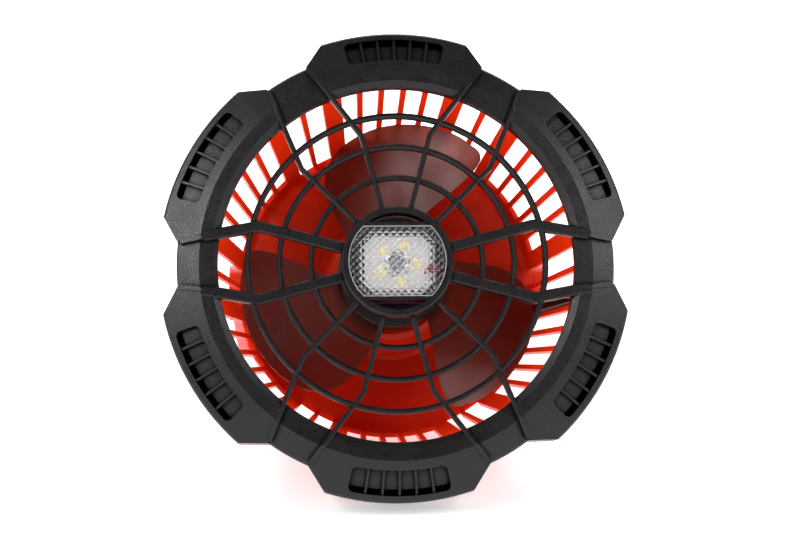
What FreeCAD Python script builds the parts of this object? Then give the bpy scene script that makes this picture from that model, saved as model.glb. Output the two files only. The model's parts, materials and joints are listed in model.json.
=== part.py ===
import FreeCAD, Part
import math
import os

import Sketcher
from FreeCAD import Placement, Rotation, Vector

# Portable camping fan, millimetres.
# Every piece is drawn in the fan's own frame: the origin is on the fan's axis in
# the plane of the bumper lugs' front rim, +X right, +Y up, +Z forwards along the
# axis.  FAN then leans that frame back and stands it on the floor plane z = 0.
# Angles called "clock" are measured clockwise from +Y, seen from the front.

doc = FreeCAD.newDocument("camping_fan")
sheet = doc.addObject("Spreadsheet::Sheet", "dims")
sheet.Label = "dims"

CELLS = [
    # posture
    ("lean_back", 22.0, "lean of the fan's face from upright, degrees"),
    ("axis_height", 114.87, "height of the fan's origin over the floor"),
    ("shift_y", -84.963, "row-frame Y of the fan's origin"),
    # front guard
    ("lug_r", 115.0, "radius over the bumper lugs"),
    ("lug_end_r", 106.0, "radius at a lug's end and between the lugs"),
    ("lug_arc", 18.0, "half angle of a lug's outer arc"),
    ("lug_end", 24.1, "half angle at a lug's ends"),
    ("rim_in_r", 86.2, "inner radius of the guard's rim"),
    ("rim_depth", 22.0, "depth of the guard's skirt"),
    ("crease_r", 95.0, "radius of the crease between face and slope"),
    ("bevel_r", 89.2, "outer radius of the lug's inner bevel"),
    ("lug_top", 8.2, "height of the lug's crest"),
    ("rim_top", 6.2, "height of the rim between lugs"),
    ("skirt_r", 102.6, "inner radius of the skirt"),
    ("spoke_w", 2.4, "width of a thin spoke"),
    ("spoke_wide", 5.2, "width of a wide spoke"),
    ("spoke_top", 8.9, "top of the spokes"),
    ("spoke_base", 4.0, "underside of the spokes"),
    ("spoke_bevel", 0.75, "bevel along the spokes"),
    ("kink_r", 64.4, "radius of the bend of a thin spoke"),
    ("kink_wide_r", 68.4, "radius of the bend of a wide spoke"),
    ("spoke_clock", 15.0, "clock angle of the first spoke"),
    ("ring_w", 2.6, "width of the grille rings"),
    ("ring_a", 41.3, "inner grille ring radius"),
    ("ring_b", 56.5, "middle grille ring radius"),
    ("ring_c", 71.7, "outer grille ring radius"),
    ("hub_r", 26.9, "radius over the hub ring"),
    ("hub_in_r", 23.5, "inner radius of the hub ring"),
    ("hub_top", 11.3, "front of the hub ring"),
    ("hub_depth", 10.0, "depth of the hub ring"),
    ("tray_flat", 18.9, "half height of the lamp tray"),
    ("tray_back", -4.0, "rear of the lamp tray"),
    # lamp
    ("lens_r", 23.7, "lens radius"),
    ("lens_flat", 17.2, "half height of the lens"),
    ("lens_seat", 8.3, "height of the lens seat"),
    ("lens_thick", 2.6, "lens thickness"),
    ("board_w", 33.6, "lamp board width"),
    ("board_h", 28.0, "lamp board height"),
    ("chip_ring", 9.3, "radius of the ring of lamp chips"),
    # drum
    ("drum_front_r", 92.0, "inner radius of the drum's mouth"),
    ("drum_rear_r", 78.5, "inner radius at the drum's rear corner"),
    ("drum_wall", 2.2, "drum wall"),
    ("drum_rear", 93.5, "depth of the back plate's inner face"),
    ("corner_in", 7.5, "inner corner radius of the drum"),
    ("slot_w", 8.1, "slot width at the front of the five-slot groups"),
    ("slot_taper", 1.3, "how much narrower the slots are at the rear"),
    ("slot_end", 88.7, "rear end of those slots"),
    ("slot_pitch", 7.0, "angle between those slots"),
    ("slot2_w", 9.6, "slot width at the front of the two-slot groups"),
    ("slot2_end", 92.9, "rear end of those slots"),
    ("slot_front", 8.0, "front end of the slots"),
    ("turret_r", 31.0, "motor turret radius at its front"),
    ("turret_base", 37.0, "motor turret radius at the back plate"),
    ("turret_front", 57.0, "depth of the turret's front"),
    # impeller
    ("blade_tip", 77.9, "blade tip radius"),
    ("fan_hub_r", 26.6, "impeller hub radius"),
    ("cap_r", 28.0, "spinner cap radius"),
    ("blade_z", -41.0, "axial place of the blades' middle"),
    ("blade_thick", 2.0, "blade thickness"),
    ("blade_pitch_root", 30.0, "blade angle at the root"),
    ("blade_pitch_tip", 22.0, "blade angle at the tip"),
    # motor
    ("can_r", 14.0, "motor can radius"),
    ("shaft_r", 1.5, "motor shaft radius"),
    # battery housing
    ("pod_w", 152.0, "battery housing width"),
    ("pod_tall", 96.0, "battery housing height"),
    ("pod_front", 96.0, "depth of the housing's front face"),
    ("pod_depth", 40.0, "depth of the tub"),
    ("pod_corner", 24.0, "corner radius"),
    ("pod_wall", 2.5, "wall"),
    ("panel_thick", 2.5, "rear panel thickness"),
    ("cell_r", 9.1, "battery cell radius"),
    ("cell_len", 65.0, "battery cell length"),
    # stand
    ("pivot_depth", 110.0, "depth of the stand's pivot"),
    ("bail_in", 78.5, "inner face of the stand's arms"),
    ("bail_out", 85.5, "outer face of the stand's arms"),
    ("bail_len", 127.0, "pivot to the outer edge of the crossbar"),
    ("bail_bar", 11.0, "crossbar width"),
    ("bail_thick", 14.0, "thickness of arms and crossbar"),
    ("bail_corner", 30.0, "outer corner radius"),
    ("bail_boss", 15.0, "radius of the pivot ends"),
    ("bail_drop", 9.5, "angle of the arms below the fan's axis"),
    ("pivot_r", 3.0, "pivot bolt radius"),
    # controls
    ("dial_r", 16.0, "speed dial radius"),
    ("dial_y", 15.0, "height of the controls on the panel"),
    ("button_r", 7.5, "light button radius"),
    ("button_x", 38.0, "sideways place of the light button"),
    ("port_y", 48.0, "top face of the housing"),
    ("insert_r", 5.0, "tripod insert radius"),
    ("insert_hole", 2.55, "minor radius of its quarter inch thread"),
]
VALUE = {}
for row, (alias, value, note) in enumerate(CELLS, 1):
    sheet.set("A%d" % row, alias)
    sheet.set("B%d" % row, repr(value))
    sheet.set("C%d" % row, note)
    sheet.setAlias("B%d" % row, alias)
    VALUE[alias] = value
doc.recompute()


class Dim:
    """A number together with the sheet formula it comes from."""

    def __init__(self, value, text):
        self.value = value
        self.text = text

    def __add__(self, o):
        return Dim(self.value + num(o), "(%s + %s)" % (self.text, txt(o)))

    __radd__ = __add__

    def __sub__(self, o):
        return Dim(self.value - num(o), "(%s - %s)" % (self.text, txt(o)))

    def __rsub__(self, o):
        return Dim(num(o) - self.value, "(%s - %s)" % (txt(o), self.text))

    def __mul__(self, o):
        return Dim(self.value * num(o), "(%s * %s)" % (self.text, txt(o)))

    __rmul__ = __mul__

    def __truediv__(self, o):
        return Dim(self.value / num(o), "(%s / %s)" % (self.text, txt(o)))

    def __neg__(self):
        return Dim(-self.value, "(0 - %s)" % self.text)


def num(x):
    return x.value if isinstance(x, Dim) else float(x)


def txt(x):
    return x.text if isinstance(x, Dim) else "(%s)" % repr(float(x))


def d(alias):
    return Dim(VALUE[alias], "dims." + alias)


def n(alias):
    return VALUE[alias]


def clock(r, angle):
    """Point at radius r and clock angle, in the face's plane."""
    a = math.radians(angle)
    return (r * math.sin(a), r * math.cos(a))


def bind(obj, prop, value):
    setattr(obj, prop, num(value))
    if isinstance(value, Dim):
        obj.setExpression(prop, value.text)


# ---------------------------------------------------------------- helpers
FAN = Placement(
    Vector(0, n("shift_y"), n("axis_height")),
    Rotation(Vector(1, 0, 0), 90.0 - n("lean_back")),
)
# the speed dial is drawn with its pointer up and rests turned to its first mark
DIAL = FAN.multiply(
    Placement(
        Vector(0, 0, 0),
        Rotation(Vector(0, 0, 1), -120.0),
        Vector(0, n("dial_y"), 0),
    )
)
NODES = []


def done(obj, label, place=None):
    obj.Label = label
    NODES.append((label, obj, place or FAN))
    return obj


def body(name):
    return doc.addObject("PartDesign::Body", name + "_body")


def origin(b, role):
    for f in b.Origin.OriginFeatures:
        if f.Role == role:
            return f
    raise RuntimeError(role)


def sketch(b, role, name, offset=None, lift=None):
    sk = b.newObject("Sketcher::SketchObject", name)
    sk.AttachmentSupport = [(origin(b, role), "")]
    sk.MapMode = "FlatFace"
    if offset is not None:
        sk.AttachmentOffset = offset
    if lift is not None:
        sk.AttachmentOffset = Placement(Vector(0, 0, num(lift)), Rotation())
        if isinstance(lift, Dim):
            sk.setExpression(".AttachmentOffset.Base.z", lift.text)
    return sk


def fix(sk, geo, pos, x, y):
    for kind, value, axis in (("DistanceX", x, -2), ("DistanceY", y, -1)):
        if abs(num(value)) < 1e-9:
            sk.addConstraint(Sketcher.Constraint("PointOnObject", geo, pos, axis))
        else:
            i = sk.addConstraint(
                Sketcher.Constraint(kind, -1, 1, geo, pos, num(value))
            )
            if isinstance(value, Dim):
                sk.setExpression("Constraints[%d]" % i, value.text)


def poly(sk, pts):
    base = sk.GeometryCount
    count = len(pts)
    for i in range(count):
        a, c = pts[i], pts[(i + 1) % count]
        sk.addGeometry(
            Part.LineSegment(
                Vector(num(a[0]), num(a[1]), 0), Vector(num(c[0]), num(c[1]), 0)
            ),
            False,
        )
    for i in range(count):
        sk.addConstraint(
            Sketcher.Constraint("Coincident", base + i, 2, base + (i + 1) % count, 1)
        )
    for i, (x, y) in enumerate(pts):
        fix(sk, base + i, 1, x, y)


def circle(sk, x, y, r):
    g = sk.addGeometry(
        Part.Circle(Vector(num(x), num(y), 0), Vector(0, 0, 1), num(r)), False
    )
    fix(sk, g, 3, x, y)
    i = sk.addConstraint(Sketcher.Constraint("Radius", g, num(r)))
    if isinstance(r, Dim):
        sk.setExpression("Constraints[%d]" % i, r.text)


def blocked(sk, edges):
    """A closed outline of lines and arcs, held where the sheet's sizes put it."""
    base = sk.GeometryCount
    for e in edges:
        sk.addGeometry(e, False)
    for i in range(len(edges)):
        sk.addConstraint(Sketcher.Constraint("Block", base + i))


def rounded(sk, w, h, r, cx=0.0, cy=0.0):
    """Rounded rectangle, fully constrained to its width, height and corner."""
    W, H, R = num(w) / 2, num(h) / 2, num(r)
    X, Y = num(cx), num(cy)
    base = sk.GeometryCount
    P = lambda x, y: Vector(X + x, Y + y, 0)
    lines = [
        (P(-W + R, -H), P(W - R, -H)),
        (P(W, -H + R), P(W, H - R)),
        (P(W - R, H), P(-W + R, H)),
        (P(-W, H - R), P(-W, -H + R)),
    ]
    centres = [
        (P(W - R, -H + R), -90, 0),
        (P(W - R, H - R), 0, 90),
        (P(-W + R, H - R), 90, 180),
        (P(-W + R, -H + R), 180, 270),
    ]
    for a, c in lines:
        sk.addGeometry(Part.LineSegment(a, c), False)
    for c, a0, a1 in centres:
        sk.addGeometry(
            Part.ArcOfCircle(
                Part.Circle(c, Vector(0, 0, 1), R), math.radians(a0), math.radians(a1)
            ),
            False,
        )
    for i in range(4):
        line, arc, nxt = base + i, base + 4 + i, base + (i + 1) % 4
        sk.addConstraint(Sketcher.Constraint("Tangent", line, 2, arc, 1))
        sk.addConstraint(Sketcher.Constraint("Tangent", arc, 2, nxt, 1))
    sk.addConstraint(Sketcher.Constraint("Horizontal", base))
    sk.addConstraint(Sketcher.Constraint("Vertical", base + 1))
    sk.addConstraint(Sketcher.Constraint("Horizontal", base + 2))
    sk.addConstraint(Sketcher.Constraint("Vertical", base + 3))
    for i in (1, 2, 3):
        sk.addConstraint(Sketcher.Constraint("Equal", base + 4, base + 4 + i))
    c = sk.addConstraint(Sketcher.Constraint("Radius", base + 4, R))
    if isinstance(r, Dim):
        sk.setExpression("Constraints[%d]" % c, r.text)
    for geo, pos, kind, value in (
        (base, 1, "DistanceY", cy - h / 2),
        (base + 2, 1, "DistanceY", cy + h / 2),
        (base + 1, 1, "DistanceX", cx + w / 2),
        (base + 3, 1, "DistanceX", cx - w / 2),
    ):
        c = sk.addConstraint(Sketcher.Constraint(kind, -1, 1, geo, pos, num(value)))
        if isinstance(value, Dim):
            sk.setExpression("Constraints[%d]" % c, value.text)


def dcut(r, flat):
    """Outline of a disc of radius r cut by two flats, as sketch edges."""
    x = math.sqrt(r * r - flat * flat)
    return [
        Part.LineSegment(Vector(x, flat, 0), Vector(-x, flat, 0)),
        Part.Arc(Vector(-x, flat, 0), Vector(-r, 0, 0), Vector(-x, -flat, 0)),
        Part.LineSegment(Vector(-x, -flat, 0), Vector(x, -flat, 0)),
        Part.Arc(Vector(x, -flat, 0), Vector(r, 0, 0), Vector(x, flat, 0)),
    ]


def feature(b, kind, name, sk):
    f = b.newObject("PartDesign::" + kind, name)
    f.Profile = sk
    if "Refine" in f.PropertiesList:
        f.Refine = False
    sk.Visibility = False
    return f


def pad(b, sk, length, name, back=False, mid=False):
    f = feature(b, "Pad", name, sk)
    bind(f, "Length", length)
    if mid:
        f.SideType = "Symmetric"
    f.Reversed = back
    return f


def pocket(b, sk, length, name, back=False, mid=False):
    f = feature(b, "Pocket", name, sk)
    bind(f, "Length", length)
    if mid:
        f.SideType = "Symmetric"
    f.Reversed = back
    return f


def turn(b, sk, name, angle=360.0, cut=False):
    f = feature(b, "Groove" if cut else "Revolution", name, sk)
    f.ReferenceAxis = (sk, ["V_Axis"])
    if num(angle) < 360:
        f.Midplane = True
    bind(f, "Angle", angle)
    return f


def polar(b, originals, count, name, angle=360.0):
    f = b.newObject("PartDesign::PolarPattern", name)
    f.Originals = originals
    f.Axis = (origin(b, "Z_Axis"), [""])
    f.Angle = angle
    f.Occurrences = count
    if "Refine" in f.PropertiesList:
        f.Refine = False
    b.Tip = f
    return f


def prim(kind, name, place=None, **sizes):
    o = doc.addObject("Part::" + kind, name)
    for key, value in sizes.items():
        bind(o, key, value)
    if place is not None:
        o.Placement = place
    return o


def at(x, y, z, axis=None, angle=0.0):
    return Placement(Vector(x, y, z), Rotation(Vector(*(axis or (0, 0, 1))), angle))


def cyl(name, r, length, x, y, z, along="z"):
    """Cylinder from its lower end, along +x, +y or +z."""
    rot = {"z": ((0, 0, 1), 0), "x": ((0, 1, 0), 90), "y": ((1, 0, 0), -90)}[along]
    return prim("Cylinder", name, at(x, y, z, *rot), Radius=r, Height=length)


def block(name, x0, x1, y0, y1, z0, z1):
    return prim(
        "Box", name, at(x0, y0, z0), Length=x1 - x0, Width=y1 - y0, Height=z1 - z0
    )


def cut(name, a, c):
    o = doc.addObject("Part::Cut", name)
    o.Base, o.Tool = a, c
    return o


def fuse(name, parts):
    o = doc.addObject("Part::MultiFuse", name)
    o.Shapes = parts
    return o


def group(name, parts):
    o = doc.addObject("Part::Compound", name)
    o.Links = parts
    return o


def made(name, shape):
    o = doc.addObject("Part::Feature", name)
    o.Shape = shape
    return o


def tube(points, r, bend):
    """Round wire along straight runs joined by tangent arcs."""
    pts = [Vector(*p) for p in points]
    edges, start = [], pts[0]
    for i in range(1, len(pts) - 1):
        a, c, e = pts[i - 1], pts[i], pts[i + 1]
        u, v = (a - c).normalize(), (e - c).normalize()
        if (u + v).Length < 1e-3:
            continue
        half = math.acos(max(-1.0, min(1.0, u.dot(v)))) / 2.0
        reach = bend / math.tan(half)
        reach = min(reach, 0.45 * min((a - c).Length, (e - c).Length))
        rad = reach * math.tan(half)
        p0, p1 = c + u * reach, c + v * reach
        centre = c + (u + v).normalize() * (rad / math.sin(half))
        mid = centre + (c - centre).normalize() * rad
        if (p0 - start).Length > 1e-6:
            edges.append(Part.LineSegment(start, p0).toShape())
        edges.append(Part.Arc(p0, mid, p1).toShape())
        start = p1
    edges.append(Part.LineSegment(start, pts[-1]).toShape())
    path = Part.Wire(edges)
    ring = Part.Wire([Part.Circle(pts[0], pts[1] - pts[0], r).toShape()])
    return path.makePipeShell([ring], True, True)


# ================================================================ front guard
# One black moulding: rim with six bumper lugs, spokes, grille rings and hub.
g = body("front_guard")
R_in, crease, rim_top = d("rim_in_r"), d("crease_r"), d("rim_top")
lug_top, lug_r, end_r = d("lug_top"), d("lug_r"), d("lug_end_r")
depth = d("rim_depth")

# plan of one lug: outer arc, chamfered ends, and sides that follow the spokes
A = clock(n("lug_end_r"), n("lug_end"))
K = clock(n("kink_r"), n("spoke_clock"))
t = 0.35
E = (K[0] + (A[0] - K[0]) * t, K[1] + (A[1] - K[1]) * t)
B = clock(n("lug_r"), n("lug_arc"))
V2 = lambda p: Vector(p[0], p[1], 0)
M = lambda p: (-p[0], p[1])
sk = sketch(g, "XY_Plane", "lug_plan", lift=-depth)
blocked(
    sk,
    [
        Part.LineSegment(V2(M(A)), V2(M(B))),
        Part.Arc(V2(M(B)), Vector(0, n("lug_r"), 0), V2(B)),
        Part.LineSegment(V2(B), V2(A)),
        Part.LineSegment(V2(A), V2(E)),
        Part.LineSegment(V2(E), V2(M(E))),
        Part.LineSegment(V2(M(E)), V2(M(A))),
    ],
)
lug = pad(g, sk, depth + 9.0, "lug")
polar(g, [lug], 6, "lugs")

# everything above the lug's face, inside the rim and over its edge is cut away
sk = sketch(g, "XZ_Plane", "face_profile")
poly(
    sk,
    [
        (60, -depth - 8),
        (d("skirt_r"), -depth - 8),
        (d("skirt_r"), 0.2),
        (crease + 1, 3.2),
        (R_in + 2.2, 3.4),
        (R_in + 2.2, 0.6),
        (R_in, 0.6),
        (R_in, rim_top + 0.2),
        (d("bevel_r"), lug_top + 0.2),
        (crease, lug_top),
        (lug_r - 1.0, 0.41),
        (lug_r - 0.25, -0.25),
        (lug_r + 0.01, -1.2),
        (lug_r + 7, -1.2),
        (lug_r + 7, 20),
        (60, 20),
    ],
)
turn(g, sk, "face_cut", cut=True)


def lug_face(r):
    return (d("lug_r") - r) * (d("lug_top") / 20.0)


# the rim between and under the lugs
sk = sketch(g, "XZ_Plane", "rim_profile")
poly(
    sk,
    [
        (R_in, rim_top + 0.2),
        (crease, rim_top),
        (end_r - 0.8, 1.95),
        (end_r, 0.9),
        (end_r - 1.0, -depth),
        (d("skirt_r"), -depth),
        (d("skirt_r"), 0.2),
        (crease + 1, 3.2),
        (R_in + 2.2, 3.4),
        (R_in + 2.2, 0.6),
        (R_in, 0.6),
    ],
)
turn(g, sk, "rim")

# six screw bosses under the rim between the lugs
sk = sketch(g, "XY_Plane", "boss_plan", lift=-1.8)
circle(sk, 98.4, 0, 3.6)
boss = pad(g, sk, 5.0, "screw_boss")
polar(g, [boss], 6, "screw_bosses")
sk = sketch(g, "XY_Plane", "boss_hole_plan", lift=-2.0)
circle(sk, 98.4, 0, 1.25)
boss_hole = pocket(g, sk, 4.6, "screw_hole", back=True)
polar(g, [boss_hole], 6, "screw_holes")
# the lug is hollow from behind
def sector(r0, r1, half, corner):
    """Annular sector about +Y with rounded corners, as sketch edges."""
    a0 = math.asin(corner / (r0 + corner))
    a1 = math.asin(corner / (r1 - corner))
    h = math.radians(half)

    def p(r, a):
        return Vector(r * math.sin(a), r * math.cos(a), 0)

    edges = []
    # outer arc, left to right
    edges.append(Part.Arc(p(r1, -h + a1), p(r1, 0), p(r1, h - a1)))
    ci = (r1 - corner) * math.cos(a1)
    cc = p(r1 - corner, h - a1)
    side_top = p(ci, h)
    edges.append(
        Part.Arc(p(r1, h - a1), cc + (p(r1, h) - cc).normalize() * corner, side_top)
    )
    bi = (r0 + corner) * math.cos(a0)
    side_low = p(bi, h)
    edges.append(Part.LineSegment(side_top, side_low))
    cb = p(r0 + corner, h - a0)
    edges.append(
        Part.Arc(side_low, cb + (p(r0, h) - cb).normalize() * corner, p(r0, h - a0))
    )
    edges.append(Part.Arc(p(r0, h - a0), p(r0, 0), p(r0, -h + a0)))
    cb = p(r0 + corner, -h + a0)
    edges.append(
        Part.Arc(p(r0, -h + a0), cb + (p(r0, -h) - cb).normalize() * corner, p(bi, -h))
    )
    edges.append(Part.LineSegment(p(bi, -h), p(ci, -h)))
    cc = p(r1 - corner, -h + a1)
    edges.append(
        Part.Arc(p(ci, -h), cc + (p(r1, -h) - cc).normalize() * corner, p(r1, -h + a1))
    )
    return edges


sk = sketch(g, "XY_Plane", "hollow_plan", lift=-depth)
blocked(sk, sector(106.6, n("lug_r") - 2.4, 16.0, 2.0))
hollow = pocket(g, sk, depth - 8.5, "lug_hollow", back=True)

# the vent recess in a lug's face, with its floor pads and five ribs
sk = sketch(g, "XY_Plane", "recess_plan", lift=10.0)
blocked(sk, sector(99.6, 111.5, 12.9, 2.6))
recess = pocket(g, sk, 16.0, "lug_recess")
sk = sketch(g, "YZ_Plane", "recess_floor_profile")
poly(
    sk,
    [
        (99.2, -1.3),
        (103.2, -1.3),
        (103.2, -6.2),
        (108.4, -6.2),
        (108.4, lug_face(108.4) - 3.1),
        (99.2, lug_face(99.2) - 3.1),
    ],
)
floor = turn(g, sk, "recess_floor", angle=26.6)
ribs = []
for i in range(5):
    sk = sketch(
        g,
        "YZ_Plane",
        "recess_rib_profile%d" % i,
        offset=Placement(Vector(), Rotation(Vector(0, 1, 0), (i - 2) * 4.25)),
    )
    poly(
        sk,
        [
            (99.4, -1.3),
            (103.2, -1.3),
            (103.2, -6.2),
            (111.7, -6.2),
            (111.7, lug_face(111.7) - 0.7),
            (111.0, lug_face(111.0) - 0.7),
            (99.4, lug_face(99.4) - 0.7),
        ],
    )
    ribs.append(pad(g, sk, 1.15, "recess_rib%d" % i, mid=True))
polar(g, [hollow, recess, floor] + ribs, 6, "lug_details")

# hub ring, lamp tray and its cavities
sk = sketch(g, "XY_Plane", "hub_plan", lift=d("hub_top") - d("hub_depth"))
circle(sk, 0, 0, d("hub_r"))
circle(sk, 0, 0, d("hub_in_r"))
pad(g, sk, d("hub_depth"), "hub_ring")
sk = sketch(g, "XY_Plane", "tray_plan", lift=d("tray_back"))
blocked(sk, dcut(n("hub_r"), n("tray_flat")))
pad(g, sk, d("hub_top") - d("tray_back") - 0.5, "lamp_tray")
sk = sketch(g, "XY_Plane", "seat_plan", lift=d("hub_top") + 1)
blocked(sk, dcut(n("lens_r") + 0.2, n("lens_flat") + 0.2))
pocket(g, sk, d("hub_top") + 1 - d("lens_seat"), "lens_seat")
sk = sketch(g, "XY_Plane", "cavity_plan", lift=d("lens_seat") + 1)
blocked(sk, dcut(22.4, 15.9))
pocket(g, sk, 20, "tray_cavity")
sk = sketch(g, "XZ_Plane", "hub_bevel_profile")
poly(
    sk,
    [
        (d("hub_r") - 0.9, d("hub_top") + 0.01),
        (d("hub_r") + 0.01, d("hub_top") - 0.9),
        (d("hub_r") + 1, d("hub_top") + 1),
    ],
)
turn(g, sk, "hub_bevel", cut=True)
sk = sketch(g, "XY_Plane", "lamp_screw_plan", lift=d("tray_back") - 1)
circle(sk, 24.6, 0, 0.75)
circle(sk, -24.6, 0, 0.75)
pocket(g, sk, 5.6, "lamp_screw_holes", back=True)

def bar(b, name, start, end, width, base, top, bevel, extra=0.0):
    """A spoke from start to end, drawn as its cross-section and padded along it."""
    dx, dy = end[0] - start[0], end[1] - start[1]
    angle = math.degrees(math.atan2(dy, dx))
    s = sketch(
        b,
        "YZ_Plane",
        name + "_section",
        offset=Placement(
            Vector(start[1], 0, start[0]), Rotation(Vector(0, 1, 0), angle)
        ),
    )
    w = width / 2
    poly(
        s,
        [
            (-w, base),
            (w, base),
            (w, top - bevel),
            (w - bevel, top),
            (bevel - w, top),
            (-w, top - bevel),
        ],
    )
    return pad(b, s, math.hypot(dx, dy) + extra, name)


top, base, bevel = d("spoke_top"), d("spoke_base"), d("spoke_bevel")
thin, wide = d("spoke_w"), d("spoke_wide")
inner = bar(
    g,
    "spoke_inner",
    clock(25.6, n("spoke_clock")),
    clock(n("kink_r"), n("spoke_clock")),
    thin,
    base,
    top,
    bevel,
    extra=0.25,
)
polar(g, [inner], 12, "spokes_inner")


def outer_ends(lug_at, side, kink):
    """Bend and lug-end points of the spoke on one side of a lug."""
    k = clock(kink, lug_at + side * n("spoke_clock"))
    e = clock(n("lug_end_r") - 1.2, lug_at + side * (n("lug_end") - 0.15))
    k = (k[0] + (k[0] - e[0]) * 0.006, k[1] + (k[1] - e[1]) * 0.006)
    return k, e


halves = []
for lug_at, side in ((0, 1), (120, 1), (0, -1), (60, -1)):
    k, e = outer_ends(lug_at, side, n("kink_r"))
    r_end = 0.72
    e2 = (k[0] + (e[0] - k[0]) * r_end, k[1] + (e[1] - k[1]) * r_end)
    nm = "spoke_outer_%d%s" % (lug_at, "a" if side > 0 else "b")
    halves.append(bar(g, nm, k, e2, thin, base, top, bevel))
for lug_at, side in ((60, 1), (120, -1)):
    k, e = outer_ends(lug_at, side, n("kink_wide_r"))
    e2 = (k[0] + (e[0] - k[0]) * 0.70, k[1] + (e[1] - k[1]) * 0.70)
    nm = "spoke_wide_outer_%d" % lug_at
    halves.append(bar(g, nm, k, e2, wide, base, top, bevel))
    nm = "spoke_wide_inner_%d" % lug_at
    at_clock = lug_at + side * n("spoke_clock")
    halves.append(
        bar(
            g,
            nm,
            clock(25.4, at_clock),
            clock(n("kink_wide_r"), at_clock),
            wide,
            base,
            top,
            bevel,
            extra=0.45,
        )
    )
polar(g, halves, 2, "spokes_outer")
ridges = []
for side in (1, -1):
    k, e = outer_ends(0, side, n("kink_r"))
    s0 = (k[0] + (e[0] - k[0]) * 0.60, k[1] + (e[1] - k[1]) * 0.60)
    ridges.append(
        bar(g, "ridge_%s" % ("a" if side > 0 else "b"), s0, e, thin, 0.4, top, bevel)
    )
polar(g, ridges, 6, "ridges")

# the ridges follow the lug's slope; the hub ring's edge is bevelled
sk = sketch(g, "XZ_Plane", "slope_profile")
poly(sk, [(crease - 1.2, 9.2), (lug_r + 1, 0.19), (lug_r + 3, 14), (crease - 1.2, 14)])
turn(g, sk, "slope_cut", cut=True)

# grille rings with bevelled fronts
sk = sketch(g, "XZ_Plane", "ring_profile")
for alias, top in (("ring_a", 8.4), ("ring_b", 8.6), ("ring_c", 8.8)):
    r, w = d(alias), d("ring_w") / 2
    poly(
        sk,
        [
            (r - w, 4.8),
            (r + w, 4.8),
            (r + w, top - 0.95),
            (r + w - 0.95, top),
            (r - w + 0.95, top),
            (r - w, top - 0.95),
        ],
    )
turn(g, sk, "grille_rings")
done(g, "front_guard")

# ================================================================ lamp
o = body("led_lens")
sk = sketch(o, "XY_Plane", "lens_plan", lift=d("lens_seat") + 0.02)
blocked(sk, dcut(n("lens_r"), n("lens_flat")))
pad(o, sk, d("lens_thick"), "lens")
done(o, "led_lens")

o = body("led_board")
hw, hh = d("board_w") / 2, d("board_h") / 2
sk = sketch(o, "XY_Plane", "board_plan", lift=2.4)
poly(
    sk,
    [
        (hw, hh - 4.5),
        (hw - 4.5, hh),
        (4.5 - hw, hh),
        (-hw, hh - 4.5),
        (-hw, 4.5 - hh),
        (4.5 - hw, -hh),
        (hw - 4.5, -hh),
        (hw, 4.5 - hh),
    ],
)
pad(o, sk, 1.6, "board")
sk = sketch(o, "XY_Plane", "board_hole_plan", lift=5.0)
circle(sk, 0, 0, 1.3)
pocket(o, sk, 4, "board_hole")
done(o, "led_board")

chips = []
for i, a in enumerate((-5, 69, 140, 210, 282)):
    r = n("chip_ring")
    x, y = r * math.cos(math.radians(a)), r * math.sin(math.radians(a))
    chips.append(
        prim("Box", "chip%d" % i, at(x - 1.5, y - 1.5, 4.02), Length=3, Width=3, Height=0.9)
    )
done(group("led_chips_group", chips), "led_chips")

o = body("led_cover")
sk = sketch(o, "XY_Plane", "cover_plan", lift=d("tray_back") - 2.4)
blocked(sk, dcut(n("hub_r") - 0.4, n("tray_flat") - 0.4))
pad(o, sk, 2.35, "cover_plate")
sk = sketch(o, "XY_Plane", "post_plan", lift=d("tray_back") - 1)
for sx in (-1, 1):
    for sy in (-1, 1):
        circle(sk, 11.0 * sx, 8.0 * sy, 1.6)
circle(sk, 0, 0, 3.4)
pad(o, sk, 7.36, "posts")
sk = sketch(o, "XY_Plane", "post_hole_plan", lift=5.0)
circle(sk, 0, 0, 1.02)
pocket(o, sk, 7.0, "post_hole")
sk = sketch(o, "XY_Plane", "cover_hole_plan", lift=d("tray_back") + 2)
circle(sk, 24.6, 0, 1.0)
circle(sk, -24.6, 0, 1.0)
circle(sk, 19.6, -5.2, 2.0)
pocket(o, sk, 8, "cover_holes")
done(o, "led_cover")

screws = []
for i, sx in enumerate((-1, 1)):
    screws.append(
        fuse(
            "lamp_screw%d" % i,
            [
                cyl("lamp_screw_shank%d" % i, 0.73, 6.4, 24.6 * sx, 0, -6.45),
                cyl("lamp_screw_head%d" % i, 1.8, 1.4, 24.6 * sx, 0, -7.85),
            ],
        )
    )
cross = fuse(
    "board_screw_cross",
    [block("cross_a", -2.6, 2.6, -0.45, 0.45, 5.1, 7.0), block("cross_b", -0.45, 0.45, -2.6, 2.6, 5.1, 7.0)],
)
pan = prim("Cone", "board_screw_pan", at(0, 0, 4.75), Radius1=4.5, Radius2=3.2, Height=1.15)
board_screw = fuse(
    "board_screw",
    [
        cyl("board_screw_shank", 1.0, 6.6, 0, 0, -1.9),
        cyl("board_screw_washer", 5.4, 0.75, 0, 0, 4.02),
        pan,
    ],
)
screws.append(cut("board_screw_cut", board_screw, cross))
done(group("led_screws_group", screws), "led_screws")

# the lamp's leads: board, cover, under the wide spoke, along the drum, into the pod
spoke_b = 120 - n("spoke_clock")
kb, eb = outer_ends(120, -1, n("kink_wide_r"))


def along(a, c, f):
    return (a[0] + (c[0] - a[0]) * f, a[1] + (c[1] - a[1]) * f)


def side_step(a, c, s):
    """Unit step to one side of the direction a to c."""
    L = math.hypot(c[0] - a[0], c[1] - a[1])
    return (-(c[1] - a[1]) / L * s, (c[0] - a[0]) / L * s)


wires = []
wall_at = 100.0


def wall_r(z):
    """Inner radius of the drum's wall at height z."""
    f = (-z - 2.0) / 84.0
    return n("drum_front_r") + (n("drum_rear_r") - n("drum_front_r")) * f


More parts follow.
